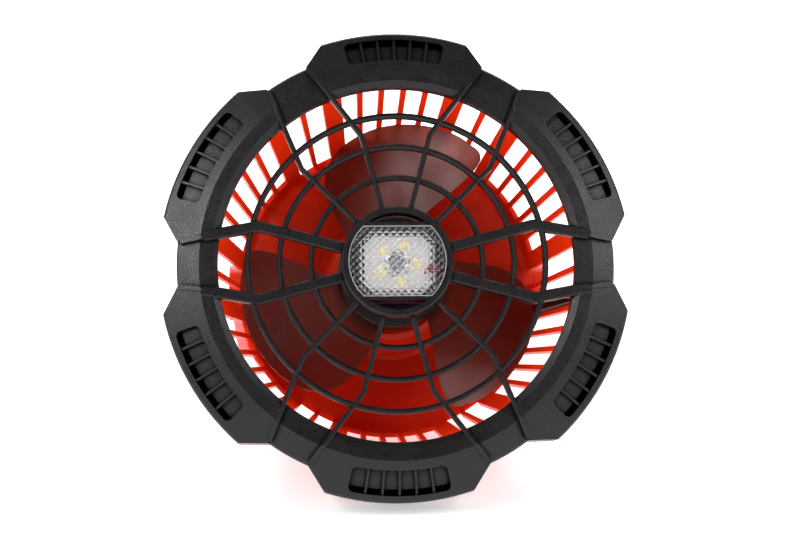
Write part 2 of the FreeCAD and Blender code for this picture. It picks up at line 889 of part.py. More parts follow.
for i, s in enumerate((-0.8, 0.8)):
    k0 = clock(31.0, spoke_b)
    k1 = kb
    k2 = along(kb, eb, 0.34)
    o1 = side_step(k0, k1, s)
    o2 = side_step(k1, k2, s)
    w0 = clock(wall_r(-9.0) - 1.9, wall_at)
    w1 = clock(wall_r(-58.0) - 1.9, wall_at)
    w2 = clock(wall_r(-83.0) - 1.9, wall_at)
    ow = side_step((0, 0), w0, s)
    exit_ = (66.5, -14.2)
    wires.append(
        tube(
            [
                (14.4, -3.4 + s, 4.75),
                (15.4, -3.0 + s, 6.9),
                (18.9, -3.2 + s, 6.9),
                (19.6, -4.6 + s, -2.5),
                (19.8, -5.2 + s, -8.6),
                (k0[0] - 4 + o1[0], k0[1] + 1.0 + o1[1], -9.4),
                (k0[0] + o1[0], k0[1] + o1[1], -7.0),
                (k0[0] + 3.5 + o1[0], k0[1] - 0.9 + o1[1], 2.7),
                (k1[0] + o1[0] / 2 + o2[0] / 2, k1[1] + o1[1] / 2 + o2[1] / 2, 2.7),
                (k2[0] + o2[0], k2[1] + o2[1], 2.7),
                (w0[0] + ow[0], w0[1] + ow[1], -9.0),
                (w1[0] + ow[0], w1[1] + ow[1], -58.0),
                (w2[0] + ow[0], w2[1] + ow[1], -83.0),
                (exit_[0] + ow[0], exit_[1] + ow[1], -89.0),
                (exit_[0] + ow[0], exit_[1] + ow[1], -101.5),
            ],
            0.7,
            2.4,
        )
    )
print("lead volumes", [round(w.Volume, 1) for w in wires])
done(made("led_wires_shape", Part.Compound(wires)), "led_wires")


# black channel clipped under that spoke
def beam(a, c, width, z0, z1, extra0=0.0, extra1=0.0):
    L = math.hypot(c[0] - a[0], c[1] - a[1])
    box = Part.makeBox(L + extra0 + extra1, width, z1 - z0, Vector(-extra0, -width / 2, z0))
    box.Placement = Placement(
        Vector(a[0], a[1], 0),
        Rotation(Vector(0, 0, 1), math.degrees(math.atan2(c[1] - a[1], c[0] - a[0]))),
    )
    return box


c0, c2 = clock(28.6, spoke_b), along(kb, eb, 0.30)
shell = beam(c0, kb, n("spoke_wide"), 0.9, n("spoke_base") - 0.02, 0, 0.4).fuse(
    beam(kb, c2, n("spoke_wide"), 0.9, n("spoke_base") - 0.02, 0.4, 0)
)
groove = beam(c0, kb, 3.8, 1.8, 5.0, 3.0, 0.4).fuse(beam(kb, c2, 3.8, 1.8, 5.0, 0.4, 3.0))
mouth = Part.makeCylinder(2.6, 4.0, Vector(c0[0] + 4.4, c0[1] - 1.2, -0.4))
done(made("cable_cover_shape", shell.cut(groove).cut(mouth).removeSplitter()), "cable_cover")

# black conduit along the thick rib of the drum


def conduit(width, lift0, lift1, z0, z1):
    """Bar along the tapering wall; lift is the distance in from the wall."""
    r = wall_r
    pts = [
        Vector(r(z0) - lift0, -width / 2, z0),
        Vector(r(z1) - lift0, -width / 2, z1),
        Vector(r(z1) - lift1, -width / 2, z1),
        Vector(r(z0) - lift1, -width / 2, z0),
    ]
    face = Part.Face(Part.makePolygon(pts + pts[:1]))
    s = face.extrude(Vector(0, width, 0))
    s.rotate(Vector(), Vector(0, 0, 1), 90 - wall_at)
    return s


cover = conduit(5.4, 0.15, 3.9, -11.0, -82.2)
inside = conduit(3.8, -1.0, 3.0, -3.0, -90.0)
done(made("drum_conduit_shape", cover.cut(inside)), "drum_conduit")

# ================================================================ drum
h = body("rear_housing")
rf, rr, wall = n("drum_front_r"), n("drum_rear_r"), n("drum_wall")
zc = -(n("drum_rear") - n("corner_in"))
ci, zr = n("corner_in"), -n("drum_rear")
cx_ = rr - ci
slope = (rf - rr) / (-2.0 - zc)
s45 = math.sqrt(0.5)


def vv(x, y):
    return Vector(x, y, 0)


sk = sketch(h, "XZ_Plane", "drum_profile")
pts = [
    vv(rf, -2.0),
    vv(102.3, -2.0),
    vv(102.3, -4.6),
    vv(rf - slope * 2.6 + wall, -4.6),
    vv(rr + wall, zc),
]
edges = [Part.LineSegment(pts[i], pts[i + 1]) for i in range(4)]
edges.append(
    Part.Arc(
        pts[4],
        vv(cx_ + (ci + wall) * s45, zc - (ci + wall) * s45),
        vv(cx_, zc - ci - wall),
    )
)
edges.append(Part.LineSegment(vv(cx_, zr - wall), vv(6.0, zr - wall)))
edges.append(Part.LineSegment(vv(6.0, zr - wall), vv(6.0, zr)))
edges.append(Part.LineSegment(vv(6.0, zr), vv(cx_, zr)))
edges.append(Part.Arc(vv(cx_, zr), vv(cx_ + ci * s45, zc - ci * s45), vv(rr, zc)))
edges.append(Part.LineSegment(vv(rr, zc), pts[0]))
blocked(sk, edges)
turn(h, sk, "drum_shell")
slots = []
for i, a in enumerate((-14.0, -7.0, 0.0, 7.0, 14.0, 26.0, 34.0)):
    five = i < 5
    w = d("slot_w") / 2 if five else d("slot2_w") / 2
    low = -d("slot_end") if five else -d("slot2_end")
    sk = sketch(
        h,
        "XZ_Plane",
        "slot_plan%d" % i,
        offset=Placement(Vector(), Rotation(Vector(0, 1, 0), -a)),
    )
    front = -d("slot_front")
    v = w - d("slot_taper") / 2
    poly(sk, [(-v, low), (v, low), (w, front), (-w, front)])
    slots.append(pocket(h, sk, 112, "slot%d" % i))
polar(h, slots, 6, "slots")
sk = sketch(h, "XZ_Plane", "turret_profile")
tb, tr, tf = d("turret_base"), d("turret_r"), -d("turret_front")
poly(
    sk,
    [
        (tb + 2.0, -d("drum_rear") - 0.1),
        (tb, -d("drum_rear") + 2.0),
        (tr, tf - 2.5),
        (tr - 2.5, tf),
        (6.5, tf),
        (6.5, tf - 2.5),
        (tr - 3.4, tf - 2.5),
        (tr - 2.6, tf - 3.6),
        (tb - 2.6, -d("drum_rear") - 0.1),
    ],
)
turn(h, sk, "motor_turret")
sk = sketch(h, "XY_Plane", "motor_hole_plan", lift=tf + 1)
circle(sk, 9.5, 0, 1.3)
circle(sk, -9.5, 0, 1.3)
pocket(h, sk, 6, "motor_holes")
sk = sketch(h, "XY_Plane", "flange_hole_plan", lift=-1.0)
circle(sk, 98.4, 0, 1.7)
fh = pocket(h, sk, 6, "flange_hole")
polar(h, [fh], 6, "flange_holes")
sk = sketch(h, "XY_Plane", "lead_hole_plan", lift=-85.0)
circle(sk, 66.5, -14.2, 2.4)
pocket(h, sk, 14, "lead_hole")
sk = sketch(h, "XY_Plane", "pod_boss_plan", lift=-d("pod_front") - 2.1)
for sx in (-1, 1):
    for sy in (-1, 1):
        circle(sk, 48.0 * sx, 30.0 * sy, 4.5)
pad(h, sk, 3.0, "pod_bosses")
sk = sketch(h, "XY_Plane", "pod_boss_holes", lift=-d("pod_front") - 3)
for sx in (-1, 1):
    for sy in (-1, 1):
        circle(sk, 48.0 * sx, 30.0 * sy, 1.25)
pocket(h, sk, 4.7, "pod_boss_bores", back=True)
done(h, "rear_housing")

screws = []
for i in range(6):
    x, y = clock(98.4, 30 + 60 * i)
    screws.append(
        fuse(
            "guard_screw%d" % i,
            [
                cyl("guard_screw_shank%d" % i, 1.2, 6.6, x, y, -4.7),
                cyl("guard_screw_head%d" % i, 2.8, 2.0, x, y, -6.7),
            ],
        )
    )
done(group("guard_screws_group", screws), "guard_screws")

# ================================================================ impeller
# three wide paddles: a twisted slab cut to the paddle's outline
OUTLINE = [
    (26.0, -53.0),
    (33.6, -46.0),
    (42.0, -41.5),
    (50.7, -38.3),
    (61.0, -33.8),
    (70.6, -24.6),
    (75.6, -12.5),
    (77.6, 0.0),
    (77.7, 13.0),
    (77.0, 24.0),
    (75.0, 32.5),
]
TRAIL = [(71.2, 38.4), (64.0, 39.0), (53.3, 37.2), (44.0, 34.0), (37.4, 30.6), (26.0, 20.0)]


def blade_z(x, y):
    f = max(0.0, min(1.0, (y - 24.0) / 54.0))
    p = math.radians(
        n("blade_pitch_root") + (n("blade_pitch_tip") - n("blade_pitch_root")) * f
    )
    return n("blade_z") + x * math.tan(p) - 0.0016 * x * x


def blade_section(y, half):
    cols = [half * (-1 + 2 * i / 12.0) for i in range(13)]
    th = n("blade_thick") / 2
    up = [Vector(x, y, blade_z(x, y) + th) for x in cols]
    dn = [Vector(x, y, blade_z(x, y) - th) for x in reversed(cols)]
    c1, c2 = Part.BSplineCurve(), Part.BSplineCurve()
    c1.interpolate(up)
    c2.interpolate(dn)
    return Part.Wire(
        [
            c1.toShape(),
            Part.LineSegment(up[-1], dn[0]).toShape(),
            c2.toShape(),
            Part.LineSegment(dn[-1], up[0]).toShape(),
        ]
    )


slab = Part.makeLoft([blade_section(y, 66.0) for y in (14.0, 32.0, 50.0, 66.0, 82.0)], True)
lead = [Vector(*clock(r * n("blade_tip") / 77.9, a), -100) for r, a in OUTLINE]
trail = [Vector(*clock(r * n("blade_tip") / 77.9, a), -100) for r, a in TRAIL]
tip_pts = [lead[-1], Vector(*clock(73.6, 36.6), -100), trail[0]]
ca, cb_, cc_ = Part.BSplineCurve(), Part.BSplineCurve(), Part.BSplineCurve()
ca.interpolate(lead)
cb_.interpolate(trail)
cc_.interpolate(tip_pts)
plan = Part.Wire(
    [
        ca.toShape(),
        cc_.toShape(),
        cb_.toShape(),
        Part.LineSegment(trail[-1], lead[0]).toShape(),
    ]
)
prism = Part.Face(plan).extrude(Vector(0, 0, 100))
blade = slab.common(prism)
hub_r = n("fan_hub_r")
core = Part.makeCylinder(hub_r - 0.6, 60, Vector(0, 0, -80))
blade = blade.cut(core)
hub_pts = [
    (1.53, -28.9),
    (1.53, -50.0),
    (5.5, -50.0),
    (5.5, -30.9),
    (hub_r - 2, -30.9),
    (hub_r - 2, -54.0),
    (hub_r, -54.0),
    (hub_r, -28.6),
    (hub_r - 0.8, -27.8),
    (1.53, -27.8),
]
wire = Part.makePolygon([Vector(r, 0, z) for r, z in hub_pts + hub_pts[:1]])
imp = Part.Face(wire).revolve(Vector(), Vector(0, 0, 1), 360)
for i in range(3):
    c = blade.copy()
    c.rotate(Vector(), Vector(0, 0, 1), -120.0 * i)
    imp = imp.fuse(c)
    rib = Part.makeBox(hub_r - 7, 1.4, 12, Vector(5.2, -0.7, -43))
    rib.rotate(Vector(), Vector(0, 0, 1), 30 + 120.0 * i)
    imp = imp.fuse(rib)
done(made("impeller_shape", imp), "impeller")
print("impeller", imp.isValid(), len(imp.Solids), round(imp.Volume))

o = body("spinner_cap")
sk = sketch(o, "XZ_Plane", "cap_profile")
cr, hr = d("cap_r"), d("fan_hub_r")
poly(
    sk,
    [
        (0, -23.4),
        (9.0, -23.5),
        (18.0, -24.1),
        (cr - 3.6, -25.0),
        (cr - 1.0, -26.2),
        (cr, -27.8),
        (cr, -30.6),
        (hr + 0.1, -30.6),
        (hr + 0.1, -27.75),
        (5.0, -27.75),
        (5.0, -25.4),
        (0, -25.4),
    ],
)
turn(o, sk, "cap")
done(o, "spinner_cap")

# ================================================================ motor
can_r, sh = d("can_r"), d("shaft_r")
o = body("motor_can")
sk = sketch(o, "XZ_Plane", "can_profile")
poly(
    sk,
    [
        (3.05, -59.6),
        (can_r - 1, -59.6),
        (can_r, -60.6),
        (can_r, -91.6),
        (can_r - 0.8, -91.6),
        (can_r - 0.8, -60.9),
        (3.05, -60.9),
    ],
)
turn(o, sk, "can")
sk = sketch(o, "XY_Plane", "can_hole_plan", lift=-58.0)
circle(sk, 9.5, 0, 1.15)
circle(sk, -9.5, 0, 1.15)
pocket(o, sk, 4, "can_holes")
done(o, "motor_can")

o = body("motor_endcap")
sk = sketch(o, "XZ_Plane", "endcap_profile")
poly(
    sk,
    [
        (3.05, -90.8),
        (can_r - 0.85, -90.8),
        (can_r - 0.85, -91.65),
        (can_r, -91.65),
        (can_r, -93.2),
        (3.05, -93.2),
    ],
)
turn(o, sk, "endcap")
done(o, "motor_endcap")

for nm, z0, z1 in (("front_bushing", -63.4, -58.4), ("rear_bushing", -95.0, -90.2)):
    outer = cyl(nm + "_outer", 3.0, z1 - z0, 0, 0, z0)
    bore = cyl(nm + "_bore", sh + 0.04, z1 - z0 + 2, 0, 0, z0 - 1)
    done(cut(nm + "_cut", outer, bore), nm)

mags = []
for i in range(2):
    f = Part.Face(
        Part.makePolygon(
            [Vector(r, 0, z) for r, z in ((10.7, -65), (13.1, -65), (13.1, -86.5), (10.7, -86.5), (10.7, -65))]
        )
    )
    m = f.revolve(Vector(), Vector(0, 0, 1), 130)
    m.rotate(Vector(), Vector(0, 0, 1), 25 + 180 * i)
    mags.append(m)
done(made("motor_magnets_shape", Part.Compound(mags)), "motor_magnets")

o = body("motor_armature")
sk = sketch(o, "XY_Plane", "armature_plan", lift=-83.6)
circle(sk, 0, 0, 10.2)
circle(sk, 0, 0, sh + 0.02)
pad(o, sk, 17.1, "laminations")
sk = sketch(o, "XY_Plane", "armature_slot_plan", lift=-66.0)
poly(sk, [(4.5, -0.9), (11, -0.9), (11, 0.9), (4.5, 0.9)])
sl = pocket(o, sk, 20, "armature_slot")
polar(o, [sl], 5, "armature_slots")
done(o, "motor_armature")
coils = []
for i in range(5):
    a = math.radians(36 + 72 * i)
    c = Part.makeCylinder(2.5, 1.7, Vector(6.6 * math.cos(a), 6.6 * math.sin(a), -66.45))
    c2_ = Part.makeCylinder(2.5, 0.9, Vector(6.6 * math.cos(a), 6.6 * math.sin(a), -84.55))
    coils += [c, c2_]
done(made("motor_windings_shape", Part.Compound(coils)), "motor_windings")
done(
    cut(
        "commutator_cut",
        cyl("commutator_outer", 3.6, 4.0, 0, 0, -89.2),
        cyl("commutator_bore", sh + 0.02, 8, 0, 0, -92),
    ),
    "commutator",
)
brushes = [block("brush0", 3.7, 9.0, -1.3, 1.3, -88.6, -86.2), block("brush1", -9.0, -3.7, -1.3, 1.3, -88.6, -86.2)]
done(group("motor_brushes_group", brushes), "motor_brushes")
done(cyl("motor_shaft_rod", sh, 65.6, 0, 0, -94.8), "motor_shaft")
screws = []
for i, sx in enumerate((-1, 1)):
    screws.append(
        fuse(
            "motor_screw%d" % i,
            [
                cyl("motor_screw_shank%d" % i, 1.1, 6.2, 9.5 * sx, 0, -63.0),
                cyl("motor_screw_head%d" % i, 2.3, 1.5, 9.5 * sx, 0, -56.95),
            ],
        )
    )
done(group("motor_screws_group", screws), "motor_screws")

# ================================================================ battery housing
p = body("battery_housing")
pf = -d("pod_front")
sk = sketch(p, "XY_Plane", "tub_plan", lift=pf)
rounded(sk, d("pod_w"), d("pod_tall"), d("pod_corner"))
pad(p, sk, d("pod_depth"), "tub", back=True)
sk = sketch(p, "XY_Plane", "tub_cavity_plan", lift=pf - d("pod_depth"))
w2 = d("pod_wall") * 2
rounded(sk, d("pod_w") - w2, d("pod_tall") - w2, d("pod_corner") - d("pod_wall"))
pocket(p, sk, d("pod_depth") - 2.2, "tub_cavity", back=True)
SCREWS_AT = [(-70.3, -22.0), (70.3, -22.0), (63.6, 35.6), (-63.6, 35.6)]
sk = sketch(p, "XY_Plane", "column_plan", lift=pf - 2)
for x, y in SCREWS_AT:
    circle(sk, x, y, 5.0 if y > 0 else 4.0)
pad(p, sk, d("pod_depth") - 2, "panel_columns", back=True)
sk = sketch(p, "XY_Plane", "column_hole_plan", lift=pf - d("pod_depth") - 1)
for x, y in SCREWS_AT:
    circle(sk, x, y, 1.25)
pocket(p, sk, 13, "column_holes", back=True)
# pivot bosses inside and outside of the side walls
pd = -d("pivot_depth")
for sgn, nm in ((1, "right"), (-1, "left")):
    sk = sketch(p, "YZ_Plane", "pivot_boss_%s_plan" % nm, lift=71.0 * sgn)
    circle(sk, 0, pd, 9.0)
    pad(p, sk, 4.0, "pivot_boss_%s" % nm, back=sgn < 0)
    sk = sketch(p, "YZ_Plane", "pivot_pad_%s_plan" % nm, lift=75.0 * sgn)
    circle(sk, 0, pd, 12.5)
    pad(p, sk, 2.2, "pivot_pad_%s" % nm, back=sgn < 0)
sk = sketch(p, "YZ_Plane", "pivot_hole_plan")
circle(sk, 0, pd, d("pivot_r") + 0.05)
pocket(p, sk, 200, "pivot_holes", mid=True)
# tripod insert boss, port openings, and holes towards the drum
sk = sketch(p, "XZ_Plane", "insert_boss_plan", lift=46.5)
circle(sk, 0, -117, 8.5)
pad(p, sk, 6.2, "insert_boss", back=True)
sk = sketch(p, "XZ_Plane", "insert_hole_plan", lift=52.0)
circle(sk, 0, -117, d("insert_r"))
pocket(p, sk, 14, "insert_hole")
sk = sketch(p, "XZ_Plane", "port_plan", lift=-55.0)
poly(sk, [(-16.8, -120.1), (-3.2, -120.1), (-3.2, -113.9), (-16.8, -113.9)])
poly(sk, [(6.3, -118.8), (15.7, -118.8), (15.7, -115.2), (6.3, -115.2)])
pocket(p, sk, 14, "port_openings", back=True)
sk = sketch(p, "XY_Plane", "wall_hole_plan", lift=pf + 1)
for sx in (-1, 1):
    for sy in (-1, 1):
        circle(sk, 48.0 * sx, 30.0 * sy, 4.7)
circle(sk, 66.5, -14.2, 2.4)
circle(sk, 0, 0, 6.0)
pocket(p, sk, 5, "wall_holes")
# ears for the port cover's hinge
sk = sketch(p, "YZ_Plane", "ear_plan")
poly(sk, [(47.0, -107.6), (50.6, -107.6), (51.6, -108.6), (51.6, -111.0), (50.6, -112.0), (47.0, -112.0)])
pad(p, sk, 50.0, "ears", mid=True)
sk = sketch(p, "YZ_Plane", "ear_gap_plan")
poly(sk, [(48.0, -100), (56, -100), (56, -115), (48.0, -115)])
pocket(p, sk, 44.4, "ear_gap", mid=True)
sk = sketch(p, "YZ_Plane", "ear_hole_plan")
circle(sk, 49.85, -109.8, 0.84)
pocket(p, sk, 60, "ear_hole", mid=True)
done(p, "battery_housing")

screws = []
for i, (sx, sy) in enumerate(((-1, -1), (1, -1), (1, 1), (-1, 1))):
    screws.append(
        fuse(
            "pod_screw%d" % i,
            [
                cyl("pod_screw_shank%d" % i, 1.2, 4.9, 48.0 * sx, 30.0 * sy, -99.4),
                cyl("pod_screw_head%d" % i, 6.0, 1.6, 48.0 * sx, 30.0 * sy, -99.9),
            ],
        )
    )
done(group("pod_screws_group", screws), "pod_screws")

# rear panel with its controls' openings, ticks round the dial and recessed field
o = body("rear_panel")
back = pf - d("pod_depth")
th = d("panel_thick")
sk = sketch(o, "XY_Plane", "panel_plan", lift=back)
rounded(sk, d("pod_w"), d("pod_tall"), d("pod_corner"))
pl = pad(o, sk, th, "panel", back=True)
sk = sketch(o, "XY_Plane", "field_plan", lift=back - th)
rounded(sk, d("pod_w") - 22, d("pod_tall") - 22, d("pod_corner") - 11)
pocket(o, sk, 0.6, "field", back=True)
sk = sketch(o, "XY_Plane", "control_hole_plan", lift=back + 1)
circle(sk, 0, d("dial_y"), 3.5)
circle(sk, d("button_x"), d("dial_y"), d("button_r") + 0.3)
for i in range(4):
    circle(sk, -d("button_x"), 6.0 + 6.0 * i, 1.35)
pocket(o, sk, 6, "control_holes")
sk = sketch(o, "XY_Plane", "screw_hole_plan", lift=back + 1)
for x, y in SCREWS_AT:
    circle(sk, x, y, 1.6)
pocket(o, sk, 6, "screw_passages")
sk = sketch(o, "XY_Plane", "screw_sink_plan", lift=back - th - 0.1)
for x, y in SCREWS_AT:
    circle(sk, x, y, 3.2)
pocket(o, sk, 1.4, "screw_sinks", back=True)
# vents under the controls
sk = sketch(o, "XY_Plane", "vent_plan", lift=back + 1)
for i in range(7):
    x0 = -27.0 + 9.0 * i
    poly(sk, [(x0 - 2.0, -30), (x0 + 2.0, -30), (x0 + 2.0, -16), (x0 - 2.0, -16)])
pocket(o, sk, 6, "vents")
# ticks that mark the dial's settings
for i in range(5):
    a = -120 + 60 * i
    sk = sketch(
        o,
        "XY_Plane",
        "tick_plan%d" % i,
        offset=Placement(
            Vector(0, n("dial_y"), -137.8), Rotation(Vector(0, 0, 1), -a)
        ),
    )
    poly(sk, [(-0.5, 18.4), (0.5, 18.4), (0.5, 21.4), (-0.5, 21.4)])
    pad(o, sk, 0.35, "tick%d" % i, back=True)
done(o, "rear_panel")

screws = []
for i, (x, y) in enumerate(SCREWS_AT):
    screws.append(
        fuse(
            "panel_screw%d" % i,
            [
                cyl("panel_screw_shank%d" % i, 1.2, 12.0, x, y, -138.2),
                cyl("panel_screw_head%d" % i, 3.0, 1.1, x, y, -138.3),
            ],
        )
    )
done(group("panel_screws_group", screws), "panel_screws")

cells, bores = [], []
for i, (x0, y) in enumerate(((1.0, -30.2), (-66.0, -30.2), (1.0, -11.4), (-66.0, -11.4))):
    can = cyl("cell_can%d" % i, d("cell_r"), d("cell_len") - 1.2, x0 + (1.2 if x0 < 0 else 0.0), y, -117, "x")
    nub = cyl("cell_nub%d" % i, 2.8, 2.0, (x0 if x0 < 0 else x0 + n("cell_len") - 2.0), y, -117, "x")
    cells.append(fuse("cell%d" % i, [can, nub]))
    bores.append(cyl("holder_bore%d" % i, d("cell_r") + 0.15, d("cell_len") + 0.6, x0 - 0.3, y, -117, "x"))
done(group("battery_cells_group", cells), "battery_cells")
cradle = block("holder_block", -66.1, 66.1, -39.2, -2.2, -117.5, -105.0)
done(cut("battery_holder_cut", cradle, fuse("holder_bores", bores)), "battery_holder")

done(block("control_board_slab", -56.0, 57.0, 3.0, 33.0, -123.6, -122.0), "control_board")
dy = n("dial_y")
pot = fuse(
    "speed_pot_fuse",
    [cyl("pot_can", 8.2, 6.6, 0, dy, -130.25), cyl("pot_neck", 4.4, 2.2, 0, dy, -132.4)],
)
done(cut("speed_pot_cut", pot, cyl("pot_bore", 3.06, 9, 0, dy, -134)), "speed_pot")
bx = n("button_x")
done(
    fuse(
        "light_switch_fuse",
        [
            block("switch_body", bx - 3, bx + 3, dy - 3, dy + 3, -127.8, -123.62),
            cyl("switch_plunger", 1.6, 1.3, bx, dy, -129.0),
        ],
    ),
    "light_switch",
)
lights = [cyl("gauge_light%d" % i, 1.25, 13.9, -bx, 6.0 + 6.0 * i, -138.2) for i in range(4)]
done(group("gauge_lights_group", lights), "gauge_lights")

# charging and power sockets under the top wall
done(block("port_board_slab", -21.0, 21.0, 35.2, 36.8, -125.0, -109.0), "port_board")
usb_a = cut(
    "usb_a_cut",
    block("usb_a_shell", -16.6, -3.4, 36.85, 47.4, -119.9, -114.1),
    block("usb_a_mouth", -16.0, -4.0, 38.5, 48.0, -119.3, -114.7),
)
done(fuse("usb_a_fuse", [usb_a, block("usb_a_tongue", -15.4, -4.6, 38.0, 46.6, -119.2, -117.4)]), "usb_a_socket")
usb_c = cut(
    "usb_c_cut",
    block("usb_c_shell", 6.5, 15.5, 36.85, 47.4, -118.6, -115.4),
    block("usb_c_mouth", 6.9, 15.1, 39.5, 48.0, -118.2, -115.8),
)
done(fuse("usb_c_fuse", [usb_c, block("usb_c_tongue", 7.9, 14.1, 39.0, 46.6, -117.35, -116.65)]), "usb_c_socket")

# rubber flap over them, hinged on a pin between the ears
o = body("port_cover")
sk = sketch(o, "YZ_Plane", "flap_profile")
poly(
    sk,
    [
        (48.35, -110.2),
        (48.35, -125.6),
        (49.4, -126.8),
        (50.0, -126.4),
        (50.4, -125.2),
        (50.6, -110.2),
    ],
)
pad(o, sk, 41.0, "flap", mid=True)
sk = sketch(o, "YZ_Plane", "knuckle_profile")
circle(sk, 49.85, -109.8, 1.6)
pad(o, sk, 43.6, "knuckle", mid=True)
sk = sketch(o, "YZ_Plane", "flap_bore_plan")
circle(sk, 49.85, -109.8, 0.84)
pocket(o, sk, 60, "flap_bore", mid=True)
sk = sketch(o, "YZ_Plane", "flap_grip_plan")
circle(sk, 51.6, -124.0, 1.5)
pocket(o, sk, 24, "flap_grip", mid=True)
done(o, "port_cover")
done(cyl("port_pin_rod", 0.8, 49.6, -24.8, 49.85, -109.8, "x"), "port_pin")

# ================================================================ controls
o = body("speed_dial")
db = -139.2
sk = sketch(o, "XY_Plane", "dial_plan", lift=db)
circle(sk, 0, dy, d("dial_r"))
pad(o, sk, 3.0, "dial_skirt", back=True)
sk = sketch(o, "XY_Plane", "dial_cap_plan", lift=db - 2.9)
circle(sk, 0, dy, d("dial_r") - 2.2)
cap = pad(o, sk, 8.4, "dial_grip", back=True)
cap.TaperAngle = -3.0
sk = sketch(o, "XY_Plane", "dial_bore_plan", lift=db + 1)
circle(sk, 0, dy, 3.05)
pocket(o, sk, 8.6, "dial_bore")
for i in range(20):
    a = math.radians(18 * i)
    if i == 5:
        continue
    sk = sketch(o, "XY_Plane", "flute_plan%d" % i, lift=db - 3.2)
    circle(sk, 14.9 * math.cos(a), dy + 14.9 * math.sin(a), 1.5)
    pocket(o, sk, 10.0, "flute%d" % i)
sk = sketch(o, "XY_Plane", "pointer_plan", lift=db - 11.4)
poly(sk, [(-0.7, dy + 4.0), (0.7, dy + 4.0), (0.7, dy + 13.2), (-0.7, dy + 13.2)])
pocket(o, sk, 0.9, "pointer", back=True)
done(o, "speed_dial", DIAL)
done(cyl("dial_shaft_rod", 3.0, 15.6, 0, dy, -146.7), "dial_shaft")

o = body("light_button")
sk = sketch(o, "XY_Plane", "button_plan", lift=-135.0)
circle(sk, bx, dy, d("button_r"))
pad(o, sk, 4.9, "button_cap", back=True)
sk = sketch(o, "XY_Plane", "button_top_plan", lift=-139.8)
circle(sk, bx, dy, d("button_r") - 0.7)
pad(o, sk, 0.8, "button_crown", back=True)
sk = sketch(o, "XY_Plane", "button_flange_plan", lift=-135.7)
circle(sk, bx, dy, d("button_r") + 1.5)
pad(o, sk, 1.4, "button_flange")
sk = sketch(o, "XY_Plane", "button_stem_plan", lift=-135.0)
circle(sk, bx, dy, 1.8)
pad(o, sk, 4.6, "button_stem")
sk = sketch(o, "XY_Plane", "button_dish_plan", lift=-140.65)
circle(sk, bx, dy, 4.2)
circle(sk, bx, dy, 3.4)
pocket(o, sk, 0.5, "button_ring", back=True)
done(o, "light_button")

# ================================================================ tripod insert
o = body("tripod_insert")
sk = sketch(o, "XZ_Plane", "insert_plan", lift=48.0)
circle(sk, 0, -117, d("insert_r") - 0.02)
circle(sk, 0, -117, d("insert_hole"))
pad(o, sk, 7.6, "insert", back=True)
done(o, "tripod_insert")

# ================================================================ stand
# drawn with its arms along -Z from the pivot at the origin, then set at its angle
BAIL = FAN.multiply(
    Placement(
        Vector(0, 0, -n("pivot_depth")), Rotation(Vector(1, 0, 0), -n("bail_drop"))
    )
)
s = body("stand_bail")
xi, xo, bl, bb = n("bail_in"), n("bail_out"), n("bail_len"), n("bail_bar")
ro, ri = n("bail_corner"), n("bail_corner") - 6.0
sk = sketch(s, "XZ_Plane", "bail_plan")
q = math.sqrt(0.5)


def U(x, z):
    return Vector(x, z, 0)


zi = -(bl - bb)
blocked(
    sk,
    [
        Part.LineSegment(U(xi, 0), U(xo, 0)),
        Part.LineSegment(U(xo, 0), U(xo, -bl + ro)),
        Part.Arc(U(xo, -bl + ro), U(xo - ro + ro * q, -bl + ro - ro * q), U(xo - ro, -bl)),
        Part.LineSegment(U(xo - ro, -bl), U(-xo + ro, -bl)),
        Part.Arc(U(-xo + ro, -bl), U(-xo + ro - ro * q, -bl + ro - ro * q), U(-xo, -bl + ro)),
        Part.LineSegment(U(-xo, -bl + ro), U(-xo, 0)),
        Part.LineSegment(U(-xo, 0), U(-xi, 0)),
        Part.LineSegment(U(-xi, 0), U(-xi, zi + ri)),
        Part.Arc(U(-xi, zi + ri), U(-xi + ri - ri * q, zi + ri - ri * q), U(-xi + ri, zi)),
        Part.LineSegment(U(-xi + ri, zi), U(xi - ri, zi)),
        Part.Arc(U(xi - ri, zi), U(xi - ri + ri * q, zi + ri - ri * q), U(xi, zi + ri)),
        Part.LineSegment(U(xi, zi + ri), U(xi, 0)),
    ],
)
arms = pad(s, sk, d("bail_thick"), "bail_arms", mid=True)
doc.recompute()
long_edges = []
for i, e in enumerate(arms.Shape.Edges, 1):
    ys = [v.Point.y for v in e.Vertexes]
    if all(abs(abs(y) - n("bail_thick") / 2) < 1e-6 for y in ys) and abs(ys[0] - ys[-1]) < 1e-6:
        zs = [v.Point.z for v in e.Vertexes]
        if min(zs) < -1e-6:
            long_edges.append("Edge%d" % i)
f = s.newObject("PartDesign::Fillet", "bail_rounding")
f.Base = (arms, long_edges)
f.Radius = 2.2
s.Tip = f
for sgn, nm in ((1, "right"), (-1, "left")):
    sk = sketch(s, "YZ_Plane", "bail_boss_%s_plan" % nm, lift=d("bail_in") * sgn)
    circle(sk, 0, 0, d("bail_boss"))
    pad(s, sk, d("bail_out") - d("bail_in"), "bail_boss_%s" % nm, back=sgn < 0)
sk = sketch(s, "YZ_Plane", "bail_hole_plan")
circle(sk, 0, 0, d("pivot_r") + 0.05)
pocket(s, sk, 220, "bail_holes", mid=True)
for sgn, nm in ((1, "right"), (-1, "left")):
    sk = sketch(s, "YZ_Plane", "bail_sink_%s_plan" % nm, lift=(d("bail_out") + 1) * sgn)
    circle(sk, 0, 0, 6.4)
    pocket(s, sk, 4.2, "bail_sink_%s" % nm, back=sgn < 0)
done(s, "stand_bail", BAIL)

# rubber pads under the crossbar; their soles lie in the floor plane
o = body("foot_pads")
dl = math.radians(n("lean_back") + n("bail_drop"))
hp = n("axis_height") - n("pivot_depth") * math.sin(math.radians(n("lean_back")))


def sole(u):
    return (u * math.sin(dl) - hp) / math.cos(dl)


